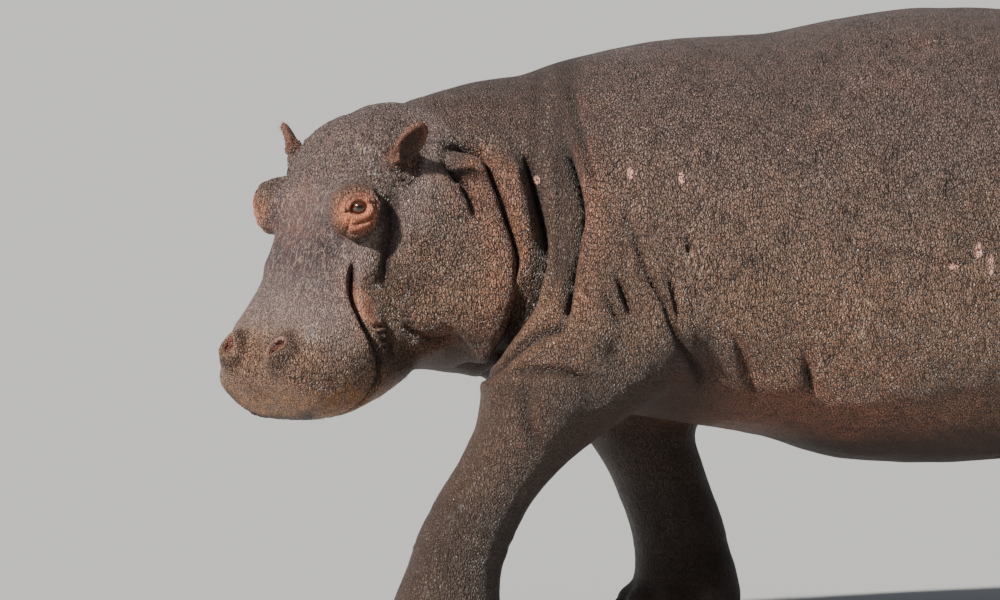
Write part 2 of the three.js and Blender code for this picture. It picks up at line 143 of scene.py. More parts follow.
def section_distance(
    across: Array, up: Array, half: Array, over: Array, under: Array, taper: Array, fullness: float
) -> Array:
    """How far a point is outside a superellipse section, along the ray from its centre.

    Args:
        across, up: the point, from the section's centre.
        half: half the section's width at its centre's level.
        over, under: how far it reaches up and down.
        taper: how much narrower it is at the top, as a share, and wider at the bottom.
        fullness: the exponent: 2 is an ellipse, and more is boxier.

    Returns:
        r - r / q ** (1 / fullness), with r the distance from the centre and q the section's
        equation, which is 1 on its outline.
    """
    share = up / np.where(up > 0, over, under)
    lean = np.sign(share) * np.minimum(np.abs(share), 1) ** (fullness / 2)
    width = half * (1 - taper * lean)
    inside = (np.abs(across) / width) ** fullness + np.abs(share) ** fullness
    return np.hypot(across, up) * (1 - np.maximum(inside, 1e-9) ** (-1 / fullness))


def ellipsoid_distance(points: Array, centre: Sequence[float], size: Sequence[float]) -> Array:
    """About how far points are outside an ellipsoid, from its equation over its slope."""
    scaled = (points - centre) / size
    near = np.maximum(np.linalg.norm(scaled, axis=1), 1e-6)
    slope = np.maximum(np.linalg.norm(scaled / size, axis=1), 1e-9)
    return near * (near - 1) / slope


FAR = 1000.0  # the distance given to points far outside a part


def within(points: Array, low: Array, high: Array, shape: Field) -> Array:
    """A part's distance, worked out only for the points inside its box, and FAR elsewhere."""
    distance = np.full(len(points), FAR)
    near = ((points > low) & (points < high)).all(1)
    if near.any():
        distance[near] = shape(points[near])
    return distance


# ---- lofts


@dataclass(frozen=True)
class Loft:
    """A body along its x axis whose superellipse sections follow a table of stations.

    A station holds: place along x, height of the top, height of the underside, half width,
    sideways shift, level of the widest part as a share of the height, and taper.
    """

    stations: tuple[tuple[float, ...], ...]
    ends: tuple[RoundedEnd, ...]
    fullness: float

    @cached_property
    def _curves(self) -> list[Curve]:
        """A curve for each size of the stations."""
        places, *sizes = zip(*self.stations)
        return [Curve(places, size) for size in sizes]

    def _plain(self, points: Array) -> Array:
        """The distance measured across the axis, and past the ends also along it."""
        limits = [end.end for end in self.ends]
        x = np.clip(points[:, 0], min(limits) + 1, max(limits) - 1)
        top, low, half, side, level, taper = (curve(x) for curve in self._curves)
        keep = np.prod([end(x) for end in self.ends], axis=0)
        middle = low + (top - low) * level
        distance = section_distance(
            points[:, 1] - side,
            points[:, 2] - middle,
            half * keep,
            (top - middle) * keep,
            (middle - low) * keep,
            taper,
            self.fullness,
        )
        beyond = np.abs(points[:, 0] - x)
        return np.where(beyond > 0, np.hypot(np.maximum(distance, 0), beyond), distance)

    def distance(self, points: Array) -> Array:
        """The plain distance divided by its slope, so that steep ends don't count too much."""
        step = np.array([2.0, 0, 0])
        along = (self._plain(points + step) - self._plain(points - step)) / (2 * step[0])
        distance = self._plain(points)
        along = np.where(distance > 0, np.minimum(np.abs(along), 1.7), along)
        return distance / np.sqrt(1 + along**2)


@dataclass(frozen=True)
class Column:
    """An upright body whose level sections follow a table of stations, as a leg or tail does.

    A station holds: height, X and Y of the centre, half length along X and half width.
    """

    stations: tuple[tuple[float, ...], ...]
    fullness: float = 2.2

    @cached_property
    def _curves(self) -> list[Curve]:
        """A curve for each size of the stations."""
        heights, *sizes = zip(*sorted(self.stations))
        return [Curve(heights, size) for size in sizes]

    def distance(self, points: Array) -> Array:
        """The distance across a level section, and past the ends also up or down."""
        z = np.clip(points[:, 2], self._curves[0].places[0], self._curves[0].places[-1])
        x, y, fore, out = (curve(z) for curve in self._curves)
        none = np.zeros(len(points))
        distance = section_distance(
            points[:, 0] - x, points[:, 1] - y, fore, out, out, none, self.fullness
        )
        beyond = np.abs(points[:, 2] - z)
        return np.where(beyond > 0, np.hypot(np.maximum(distance, 0), beyond), distance)


# ---- the animal's parts


# barrel and neck, from inside the skull to the end of the rump
TRUNK = Loft(
    stations=(
        (-360, 1205, 690, 182, -60, 0.50, 0.08),
        (-220, 1288, 650, 222, -38, 0.50, 0.08),
        (-80, 1324, 628, 246, -16, 0.50, 0.08),
        (50, 1342, 610, 290, -4, 0.49, 0.08),
        (170, 1378, 578, 368, 0, 0.47, 0.08),
        (300, 1405, 530, 432, 0, 0.45, 0.08),
        (480, 1431, 500, 474, 0, 0.44, 0.08),
        (660, 1438, 466, 498, 0, 0.43, 0.08),
        (850, 1472, 411, 518, 0, 0.43, 0.08),
        (1080, 1499, 398, 528, 0, 0.43, 0.08),
        (1350, 1486, 414, 520, 0, 0.44, 0.08),
        (1600, 1450, 452, 496, 0, 0.45, 0.08),
        (1850, 1408, 530, 460, 0, 0.47, 0.08),
        (2200, 1340, 640, 410, 0, 0.50, 0.08),
    ),
    ends=(RoundedEnd(1820, 2205, 2.5), RoundedEnd(-250, -392, 2.4)),
    fullness=2.3,
)
# the short tail hangs from the rump and is flattened towards its end
TAIL = Column(
    stations=(
        (1190, 2104, 0, 62, 62),
        (1110, 2172, 0, 54, 56),
        (1030, 2214, 0, 44, 46),
        (930, 2240, 0, 34, 38),
        (820, 2248, 0, 27, 30),
        (730, 2248, 0, 25, 19),
        (660, 2246, 0, 19, 10),
    ),
    fullness=2.0,
)


@dataclass(frozen=True)
class Ear:
    """A leaf-shaped ear on a round stalk, in the head's frame, given as if on the left."""

    point: Triple  # the way it points
    opening: Triple  # the way its cup faces
    root: Triple = (22, 186, -2)
    length: float = 138
    half_width: float = 37
    thick: float = 16
    cup_depth: float = 21

    @cached_property
    def axes(self) -> Array:
        """Rows: along the ear, across its leaf, and out of its cup."""
        along = unit(np.array(self.point))
        opening = np.array(self.opening)
        opening = unit(opening - along * (opening @ along))
        return np.array([along, np.cross(along, opening), opening])

    def to_local(self, mirrored: Array) -> Array:
        """Places in the head's frame, y already positive, as along, across and out of it."""
        return (mirrored - self.root) @ self.axes.T

    def width(self, along: Array) -> Array:
        """Half the leaf's width at a distance along it."""
        places = (-40, 0, 32, 78, 116, self.length)
        return Curve(places, (26, 26, 31, self.half_width, 29, 8))(along)

    def distance(self, mirrored: Array, thicker: float) -> Array:
        """Distance outside the ear before its cup is pressed in.

        Args:
            mirrored: places in the head's frame, with y already positive.
            thicker: how much the leaf is thickened, to catch it with a coarse net.
        """
        local = self.to_local(mirrored)
        t = np.clip(local[:, 0], -38, self.length)
        depth = Curve((-40, 0, 32, 78, self.length), (26, 24, 19, self.thick, 7))(t)
        none = np.zeros(len(mirrored))
        width = self.width(t)
        leaf = section_distance(local[:, 1], local[:, 2], width, depth, depth, none, 2.0)
        beyond = np.abs(local[:, 0] - t)
        return np.where(beyond > 0, np.hypot(np.maximum(leaf, 0), beyond), leaf) - thicker

    def cup(self, mirrored: Array) -> Array:
        """How much of the cup's full depth each place is pressed in.

        An ellipse on the leaf's open side, (1 - q) ** 0.7 with q its equation, and nothing
        on the leaf's back.
        """
        local = self.to_local(mirrored)
        lengthwise = (local[:, 0] - 0.56 * self.length) / (0.40 * self.length)
        inner = np.maximum(self.width(local[:, 0]) - 7, 4)
        q = lengthwise**2 + (local[:, 1] / inner) ** 2
        front = ramp(0, 7, local[:, 2]) * (local[:, 2] < 45)
        return np.maximum(1 - q, 0) ** 0.7 * front


@dataclass(frozen=True)
class Eye:
    """An eyeball, its lids and the almond between them, in the head's frame, on the left."""

    at: Triple = (161, 174, 34)
    radius: float = 26
    lid_radius: float = 30.5
    gaze: Triple = (0.27, 0.82, 0.5)
    corners: Triple = (-0.683, 0.59, -0.43)  # from inner to outer corner
    half_long: float = 31
    half_high: float = 32
    pit: float = 44  # how far out the middle of the cut between the lids lies
    pit_depth: float = 31
    turret_at: Triple = (-8, -3, -16)  # along, above and out of the eye
    turret_size: Triple = (56, 60, 42)

    @cached_property
    def axes(self) -> Array:
        """Rows: towards the outer corner, towards the brow, and out along the gaze."""
        out = unit(np.array(self.gaze))
        corners = np.array(self.corners)
        long = unit(corners - out * (corners @ out))
        up = np.cross(out, long)
        return np.array([long, up * -np.sign(up[0]), out])

    def to_local(self, mirrored: Array) -> Array:
        """Places in the head's frame, y already positive, from the eyeball's centre."""
        return (mirrored - self.at) @ self.axes.T

    def join(self, skull: Array, mirrored: Array) -> Array:
        """The skull's distance with turret and lids joined on and a pit cut between the lids."""
        local = self.to_local(mirrored)
        out = local[:, 2]
        turret = ellipsoid_distance(local, self.turret_at, self.turret_size)
        skull = fuse(skull, turret, 16.0)
        ball = np.linalg.norm(local, axis=1) - self.lid_radius
        skull = fuse(skull, ball, 8.0)
        return smooth_cut(skull, np.where(out > -5, self.pit_distance(local), 30.0), 3.0)

    def pit_distance(self, local: Array) -> Array:
        """About how far outside the pit between the lids, from places at the eyeball.

        The pit's equation is (above / h) ** 2 + ((out - pit) / depth) ** 2 = 1, where its half
        height h shrinks towards the eye's corners as 1 - (along / half long) ** 2.
        """
        long, high, out = local.T
        arch = np.where(high > 0, self.half_high, 0.86 * self.half_high)
        arch = arch * np.maximum(1 - (long / self.half_long) ** 2, 0.04) + 0.8
        pit = (high / arch) ** 2 + ((out - self.pit) / self.pit_depth) ** 2 - 1
        return np.minimum(pit * 8.5, 30.0)

    def ring(self, mirrored: Array) -> tuple[Array, Array]:
        """Distance round the gaze, ovally, and the height above the eye's long axis."""
        long, high, out = self.to_local(mirrored).T
        near = ramp(-34, -4, out)
        return np.hypot(long / 1.16, high) + 400 * (1 - near), high


COARSE = 6  # with thin parts thickened by more than this, the net is too coarse for openings


@dataclass(frozen=True)
class Head:
    """The head in its own frame: x from ears to nostrils, y to its left, z out of the brow."""

    origin: Triple = (-395, -100, 1160)
    pitch: float = np.radians(57)  # below the horizontal
    yaw: float = np.radians(25)  # towards the animal's left
    loft: Loft = Loft(
        stations=(
            (-160, 46, -330, 200, 0, 0.40, 0.16),
            (-60, 68, -382, 240, 0, 0.34, 0.20),
            (0, 76, -408, 262, 0, 0.30, 0.23),
            (70, 70, -420, 280, 0, 0.27, 0.28),
            (130, 54, -412, 272, 0, 0.28, 0.30),
            (200, 38, -388, 236, 0, 0.32, 0.26),
            (270, 32, -362, 204, 0, 0.38, 0.20),
            (340, 12, -348, 180, 0, 0.44, 0.14),
            (405, 4, -344, 196, 0, 0.50, 0.10),
            (465, -2, -320, 206, 0, 0.52, 0.04),
            (525, -12, -264, 188, 0, 0.52, 0.01),
            (590, -18, -196, 165, 0, 0.52, 0.00),
            (640, -26, -136, 156, 0, 0.52, 0.00),
        ),
        ends=(RoundedEnd(545, 613, 4.6), RoundedEnd(0, -175, 2.2)),
        fullness=3.0,
    )
    brow_at: Triple = (157, 134, 22)
    brow_size: Triple = (61, 60, 57)
    ridge_at: Triple = (122, 0, 4)
    ridge_size: Triple = (88, 158, 54)
    slant: tuple[float, float] = (0.09, 0.2)  # how far the muzzle's end leans: right, and down
    nose_at: Triple = (538, 86, -16)
    nose_size: Triple = (52, 34, 30)
    nostril_at: Triple = (538, 86, 6)
    nostril_size: Triple = (27, 15, 30)
    nostril_turn: float = 0.55  # its back end lies further out
    opening_reach: float = 90  # how far from its middle an opening is worked out
    ear_left: Ear = Ear(point=(-0.64, 0.66, 0.39), opening=(0.45, 0.8, -0.1))
    ear_right: Ear = Ear(point=(-0.65, 0.76, 0.06), opening=(0.7, 0.58, 0.4))
    eye: Eye = Eye()

    @property
    def ears(self) -> tuple[tuple[int, Ear], ...]:
        """The side of each ear, 1 for the left, and the ear."""
        return (1, self.ear_left), (-1, self.ear_right)

    @cached_property
    def axes(self) -> Array:
        """Rows: the head's forward, left and outward directions in the body's frame."""
        forward = np.array(
            [
                -np.cos(self.yaw) * np.cos(self.pitch),
                -np.sin(self.yaw) * np.cos(self.pitch),
                -np.sin(self.pitch),
            ]
        )
        left = np.array([np.sin(self.yaw), -np.cos(self.yaw), 0])
        return np.array([forward, left, np.cross(forward, left)])

    def to_local(self, points: Array) -> Array:
        """Body places in the head's frame."""
        return (points - self.origin) @ self.axes.T

    def to_body(self, local: Array) -> Array:
        """Head places in the body's frame."""
        return local @ self.axes + self.origin

    def mirror(self, local: Array) -> Array:
        """Places in the head's frame as if they were all on its left."""
        return local * (1, 0, 1) + np.abs(local) * (0, 1, 0)

    def in_nostril(self, mirrored: Array) -> Array:
        """Distance outside the nearer nostril's slit."""
        turned = turn_about_z(mirrored - self.nostril_at, self.nostril_turn)
        return ellipsoid_distance(turned, (0, 0, 0), self.nostril_size)

    def distance(self, local: Array, thicker: float) -> Array:
        """Distance outside the head with its brows, eyes, nose and ears."""
        mirrored = self.mirror(local)
        slant = local[:, 1] * self.slant[0] + (local[:, 2] + 90) * self.slant[1]
        slant = slant * ramp(440, 600, local[:, 0])
        skull = self.loft.distance(local + slant[:, None] * (1, 0, 0))
        ridge = ellipsoid_distance(local, self.ridge_at, self.ridge_size)
        skull = fuse(skull, ridge, 40.0)
        brow = ellipsoid_distance(mirrored, self.brow_at, self.brow_size)
        skull = fuse(skull, brow, 30.0)
        nose = ellipsoid_distance(mirrored, self.nose_at, self.nose_size)
        skull = fuse(skull, nose, 34.0)
        if thicker < COARSE:
            skull = self._with_openings(skull, mirrored)
        for side, ear in self.ears:
            near_ear = within(
                local * (1, side, 1),
                np.array([-170, 120, -110]),
                np.array([110, 370, 170]),
                lambda near: ear.distance(near, thicker),
            )
            skull = fuse(skull, near_ear, 26.0)
        return skull

    def _with_openings(self, skull: Array, mirrored: Array) -> Array:
        """Lids and nostrils, which a coarse net would miss."""
        skull = skull.copy()
        eye = np.linalg.norm(mirrored - self.eye.at, axis=1) < self.opening_reach
        if eye.any():
            skull[eye] = self.eye.join(skull[eye], mirrored[eye])
        nose = np.linalg.norm(mirrored - self.nostril_at, axis=1) < self.opening_reach
        if nose.any():
            skull[nose] = smooth_cut(skull[nose], self.in_nostril(mirrored[nose]), 7.0)
        return skull


@dataclass(frozen=True)
class Leg:
    """One leg: a column from the sole into the trunk, and toes round the front of the foot."""

    name: str
    side: float  # -1 on the animal's left, 1 on its right
    path: tuple[Triple, ...]  # height, X, distance from the middle
    sizes: tuple[Triple, ...]  # height, half length, half width
    blend: float = 80.0
    toe_angles: tuple[float, ...] = tuple(np.radians([-66, -22, 22, 66]))
    toe_reach: float = 0.8
    toe_height: float = 44
    toe_size: Triple = (52, 46, 46)

    @cached_property
    def column(self) -> Column:
        """The leg's column, its centre and its sizes read at the heights of both tables."""
        heights = np.array(sorted({row[0] for row in self.path + self.sizes}), float)
        centre_x, centre_y = (Curve(*pair) for pair in self._pairs(self.path))
        fore, out = (Curve(*pair) for pair in self._pairs(self.sizes))
        rows = zip(
            heights,
            centre_x(heights),
            self.side * centre_y(heights),
            fore(heights),
            out(heights),
        )
        return Column(tuple(rows))

    @staticmethod
    def _pairs(rows: Sequence[Sequence[float]]) -> list[tuple]:
        """The heights with each further column of a table."""
        heights, *columns = zip(*rows)
        return [(heights, column) for column in columns]

    def rim(self, angle: float, share: float, height: float) -> Array:
        """A place at a share of the sole's half sizes, at an angle from straight ahead."""
        _, fore, out = self.sizes[0]
        _, x, y = self.path[0]
        forward, sideways = fore * share * np.cos(angle), out * share * np.sin(angle)
        return np.array([x - forward, self.side * y + sideways, height])

    def distance(self, points: Array) -> Array:
        """Distance outside the leg and its toes, cut level at the sole."""
        column = self.column.distance(points)
        for angle in self.toe_angles:
            turned = turn_about_z(points - self.rim(angle, self.toe_reach, self.toe_height), angle)
            toe = ellipsoid_distance(turned, (0, 0, 0), self.toe_size)
            column = fuse(column, toe, 16.0)
        return smooth_cut(column, points[:, 2], 10.0)

    def box(self) -> tuple[Array, Array]:
        """A box with room for the leg and the fillet round it."""
        _, xs, ys = zip(*self.path)
        room = 420.0
        middle = self.side * np.mean(ys)
        return (
            np.array([min(xs) - room, middle - room, -200.0]),
            np.array([max(xs) + room, middle + room, self.path[-1][0] + 200.0]),
        )


def turn_about_z(points: Array, angle: float) -> Array:
    """Points turned by an angle about the upright axis."""
    c, s = np.cos(angle), np.sin(angle)
    turned = np.array([[c, -s, 0], [s, c, 0], [0, 0, 1]])
    return points @ turned.T


# Height, half length and half width of the two kinds of leg, and height and distance from
# the body's middle
FORELEG_SIZES = (
    (0, 136, 130), (55, 137, 131), (115, 124, 119), (200, 112, 108), (320, 113, 111),
    (420, 124, 121), (500, 155, 140), (650, 232, 162), (840, 222, 156), (1010, 170, 116),
)
HINDLEG_SIZES = (
    (0, 130, 124), (55, 131, 125), (115, 118, 113), (220, 106, 103), (330, 118, 112),
    (450, 158, 138), (600, 232, 176), (800, 290, 200), (1000, 276, 182), (1140, 214, 130),
)
FORELEG_SPREAD = (
    (0, 284), (110, 286), (200, 288), (320, 292), (420, 298), (500, 302), (650, 306),
    (840, 292), (1010, 250),
)
HINDLEG_SPREAD = (
    (0, 262), (110, 264), (220, 266), (330, 270), (450, 276), (600, 288), (800, 290),
    (1000, 268), (1140, 240),
)
# X of each leg's middle at the heights of its spread, from the sole up
STRIDE = {
    "front_left": (-216, -206, -184, -132, -60, 12, 132, 222, 256),
    "front_right": (536, 546, 532, 492, 448, 408, 340, 290, 278),
    "hind_left": (1962, 1984, 1996, 1972, 1908, 1846, 1816, 1810, 1808),
    "hind_right": (1640, 1662, 1692, 1706, 1712, 1742, 1782, 1796, 1800),
}


def make_leg(name: str) -> Leg:
    """A leg of the stride, by its name."""
    front = name.startswith("front")
    spread = FORELEG_SPREAD if front else HINDLEG_SPREAD
    path = tuple((height, x, out) for (height, out), x in zip(spread, STRIDE[name]))
    side = -1 if name.endswith("left") else 1
    return Leg(name, side, path, FORELEG_SIZES if front else HINDLEG_SIZES)


LEGS = tuple(make_leg(name) for name in STRIDE)


# ---- nets over the field


def surface_net(
    shape: Field, low: Array, high: Array, step: float
) -> tuple[Array, Array]:
    """A closed net of squares over the zero level of a distance.

    Every cell of a cubic lattice that the surface crosses gets a point, the mean of the
    crossings on its edges, and every lattice edge that it crosses gets a square between the
    four cells round it.

    Args:
        shape: the distance of an array of points.
        low, high: corners of the lattice.
        step: its pitch.

    Returns:
        Points, and the corners of triangles, two for each square.
    """
    counts = np.ceil((high - low) / step).astype(int) + 1
    axes = [low[k] + step * np.arange(counts[k]) for k in range(3)]
    lattice = np.stack(np.meshgrid(*axes, indexing="ij"), -1)
    values = shape(lattice.reshape(-1, 3)).reshape(counts)
    cells = counts - 1
    total = np.zeros((*cells, 3))
    crossings = np.zeros(cells)
    corner = np.eye(3, dtype=int)
    for axis in range(3):
        first, second = (k for k in range(3) if k != axis)
        for i in (0, 1):
            for j in (0, 1):
                start = i * corner[first] + j * corner[second]
                a = values[tuple(slice(s, s + c) for s, c in zip(start, cells))]
                end = start + corner[axis]
                b = values[tuple(slice(s, s + c) for s, c in zip(end, cells))]
                cross = (a < 0) != (b < 0)
                share = np.where(cross, a / np.where(cross, a - b, 1), 0)
                crossings += cross
                total += cross[..., None] * (start + share[..., None] * corner[axis])
    used = crossings > 0
    index = np.full(cells, -1)
    index[used] = np.arange(used.sum())
    where = np.argwhere(used)
    points = low + step * (where + total[used] / crossings[used][:, None])
    squares = []
    for axis in range(3):
        first, second = (axis + 1) % 3, (axis + 2) % 3
        inner = [slice(1, -1)] * 3
        inner[axis] = slice(0, -1)
        a = values[tuple(inner)]
        after = list(inner)
        after[axis] = slice(1, None)
        b = values[tuple(after)]
        for sign, starts in ((1, (a < 0) & (b >= 0)), (-1, (a >= 0) & (b < 0))):
            at = np.argwhere(starts) + [0 if k == axis else 1 for k in range(3)]
            ring = [
                index[tuple((at - i * corner[first] - j * corner[second]).T)]
                for i, j in ((0, 0), (1, 0), (1, 1), (0, 1))
            ]
            squares.append(np.stack(ring[::sign], 1))
    squares = np.concatenate(squares)
    return points, np.concatenate([squares[:, [0, 1, 2]], squares[:, [0, 2, 3]]])


def edges_of(triangles: Array, count: int) -> tuple[Array, Array]:
    """The net's edges, each once, and for each triangle the numbers of its three edges."""
    pairs = np.sort(triangles[:, [0, 1, 1, 2, 2, 0]].reshape(-1, 2), axis=1)
    keys, number = np.unique(pairs[:, 0] * count + pairs[:, 1], return_inverse=True)
    return np.stack([keys // count, keys % count], 1), number.reshape(-1, 3)


TOO_LONG = 1.4  # an edge this many times the wanted length is halved


def split_long_edges(points: Array, triangles: Array, wanted: Array) -> tuple[Array, Array]:
    """Halves every edge that is too long for the length wanted at its ends.

    A triangle with one, two or three halved edges becomes two, three or four triangles, so
    the net stays closed.

    Args:
        points, triangles: the net.
        wanted: the edge length wanted at each point.
    """
    edges, number = edges_of(triangles, len(points))
    length = np.linalg.norm(points[edges[:, 0]] - points[edges[:, 1]], axis=1)
    halved = length > TOO_LONG * wanted[edges].mean(1)
    middle = np.full(len(edges), -1)
    middle[halved] = len(points) + np.arange(halved.sum())
    points = np.concatenate([points, points[edges[halved]].mean(1)])
    marks = halved[number]
    kinds = marks.sum(1)
    result = [triangles[kinds == 0]]

    def turned(chosen: Array, first: Array) -> tuple[Array, Array]:
        """Corners and edge middles of triangles, turned so that edge `first` comes first."""
        order = (first[:, None] + np.arange(3)) % 3
        rows = np.arange(chosen.sum())[:, None]
        return triangles[chosen][rows, order].T, middle[number[chosen]][rows, order].T

    one = kinds == 1
    (a, b, c), (m, _, _) = turned(one, marks[one].argmax(1))
    result += [np.stack([a, m, c], 1), np.stack([m, b, c], 1)]
    two = kinds == 2
    (a, b, c), (m, n, _) = turned(two, ((~marks[two]).argmax(1) + 1) % 3)
    result += [np.stack([m, b, n], 1), np.stack([a, m, n], 1), np.stack([a, n, c], 1)]
    (a, b, c), (m, n, o) = turned(kinds == 3, np.zeros((kinds == 3).sum(), int))
    result += [np.stack(rows, 1) for rows in ((a, m, o), (m, b, n), (n, c, o), (m, n, o))]
    return points, np.concatenate(result)


def mean_of_neighbours(values: Array, edges: Array) -> Array:
    """For each point, the mean of a value over the points that its edges lead to."""
    ends = np.concatenate([edges, edges[:, ::-1]])
    weight = np.maximum(np.bincount(ends[:, 0], minlength=len(values)), 1)
    columns = values.reshape(len(values), -1).T
    total = [np.bincount(ends[:, 0], column[ends[:, 1]], len(values)) for column in columns]
    return (np.array(total) / weight).T.reshape(values.shape)


def slope_of(shape: Field, points: Array, step: float) -> tuple[Array, Array]:
    """A field's value and slope, from four places round each point, a step away from it."""
    corners = np.array([[1, -1, -1], [-1, -1, 1], [-1, 1, -1], [1, 1, 1]], float)
    values = [shape(points + step * corner) for corner in corners]
    slope = sum(value[:, None] * corner for value, corner in zip(values, corners))
    return np.mean(values, axis=0), slope / (4 * step)


FLATTEST = 0.3  # the least slope that a step trusts
LONGEST_STEP = 12.0


def draw_onto(shape: Field, points: Array, step: float) -> tuple[Array, Array]:
    """Moves points to the field's zero level by one Newton step, and gives their normals."""
    value, slope = slope_of(shape, points, step)
    steepness = np.maximum(np.linalg.norm(slope, axis=1), FLATTEST)
    move = np.clip(value / steepness, -LONGEST_STEP, LONGEST_STEP)
    normals = unit(slope)
    return points - move[:, None] * normals, normals


def normals_of(points: Array, triangles: Array) -> Array:
    """The net's normals at its points, the mean of the triangles round each by area."""
    a, b, c = (points[triangles[:, k]] for k in range(3))
    face = np.cross(b - a, c - a)
    corners = triangles.ravel()
    total = [np.bincount(corners, np.repeat(part, 3), len(points)) for part in face.T]
    return unit(np.stack(total, 1))


# ---- folds, creases and wrinkles


class Plane(Enum):
    """The flat on which a crease or a swelling is drawn."""

    FLANK = "how far back, seen from 15 degrees ahead of the side, and how high"
    CHEEK = "the head's x and z"
    BROW = "the head's x and the distance from its middle"
    EYE = "along the opening of the lids, and above it"


FLANK_TURN = np.radians(15)  # how far ahead of the side the flank's plane is seen from


def along_flank(points: Array) -> Array:
    """How far back places lie on the flank's plane."""
    return points[:, 0] * np.cos(FLANK_TURN) + np.abs(points[:, 1]) * np.sin(FLANK_TURN)


@dataclass(frozen=True)
class Noise:
    """Smooth noise: random values on a lattice that repeats, with S-shaped blends between."""

    seed: int
    size: int = 32

    @cached_property
    def table(self) -> Array:
        """The lattice's values, from -1 to 1."""
        return np.random.default_rng(self.seed).uniform(-1, 1, (self.size,) * 3)

    def __call__(self, points: Array) -> Array:
        """The noise at places given in steps of the lattice."""
        base = np.floor(points).astype(int)
        t = points - base
        t = t * t * (3 - 2 * t)
        total = np.zeros(len(points))
        for corner in np.ndindex(2, 2, 2):
            weight = np.prod(np.where(corner, t, 1 - t), axis=1)
            i, j, k = ((base + corner) % self.size).T
            total += weight * self.table[i, j, k]
        return total


@dataclass(frozen=True)
class Crease:
    """A groove along a path on one of the planes, with a roll of skin on either side.

    Its depth is depth * exp(-|d / width| ** 1.3), with d the distance from the path. Each
    roll is height * (d / roll) * exp(1 - d / roll), which is highest at a roll's width. On a
    path that runs down, "front" is the side towards the muzzle and "back" the other. The
    front roll leans back over the groove.
    """

    path: tuple[tuple[float, float], ...]
    width: float
    depth: float
    front: float = 0.0
    back: float = 0.0
    roll: float = 26.0
    lean: float = 0.0
    fade: float = 60.0
    far: float = 0.5  # share of it on the animal's right side
    plane: Plane = Plane.FLANK

    @cached_property
    def line(self) -> Array:
        """The path as a smooth line of short steps."""
        path = np.array(self.path, float)
        t = np.concatenate([[0], np.cumsum(np.linalg.norm(np.diff(path, axis=0), axis=1))])
        fine = np.linspace(0, t[-1], max(2, int(t[-1] / 14) + 1))
        places = tuple(t)
        return np.stack([Curve(places, tuple(column))(fine) for column in path.T], 1)

    def reach(self) -> float:
        """How far from its path it is felt."""
        return max(3 * self.width, 4.5 * self.roll)

    def measure(self, flat: Array) -> tuple[Array, Array]:
        """Signed distance from the path, positive behind it, and the fade along it, 0 to 1."""
        line = self.line
        start, step = line[:-1], np.diff(line, axis=0)
        length = np.linalg.norm(step, axis=1)
        away = flat[:, None] - start
        along = np.clip((away * step).sum(2) / length**2, 0, 1)
        away = away - along[..., None] * step
        distance = np.hypot(away[..., 0], away[..., 1])
        rows, nearest = np.arange(len(flat)), distance.argmin(1)
        x, z = away[rows, nearest].T
        cross = step[nearest, 0] * z - step[nearest, 1] * x
        run = np.concatenate([[0], np.cumsum(length)])
        place = run[nearest] + along[rows, nearest] * length[nearest]
        faded = ramp(0, self.fade, place) * ramp(0, self.fade, run[-1] - place)
        return np.sign(cross) * distance[rows, nearest], faded

    def shape(self, away: Array) -> tuple[Array, Array, Array]:
        """Height, lean, and darkness painted as shade in the groove, at a signed distance from the
        path.
        """
        groove = np.exp(-np.abs(away / self.width) ** 1.3)
        share = np.abs(away) / self.roll
        rolls = share * np.exp(1 - share)
        height = np.where(away < 0, self.front, self.back) * rolls - self.depth * groove
        lip = np.maximum(-away, 0) / self.width
        return height, self.lean * lip * np.exp(1 - lip), groove


@dataclass(frozen=True)
class Swelling:
    """A bulge, or a hollow if its height is negative: height * exp(-q), q an ellipse's equation."""

    at: tuple[float, float]
    size: tuple[float, float]
    height: float
    turn: float = 0.0  # degrees, from level, rising towards the back
    far: float = 0.7
    plane: Plane = Plane.FLANK

    def rise(self, flat: Array) -> Array:
        """The height at places on its plane."""
        c, s = np.cos(np.radians(self.turn)), np.sin(np.radians(self.turn))
        away = (flat - self.at) @ np.array([[c, -s], [s, c]])
        return self.height * np.exp(-((away / self.size) ** 2).sum(1))


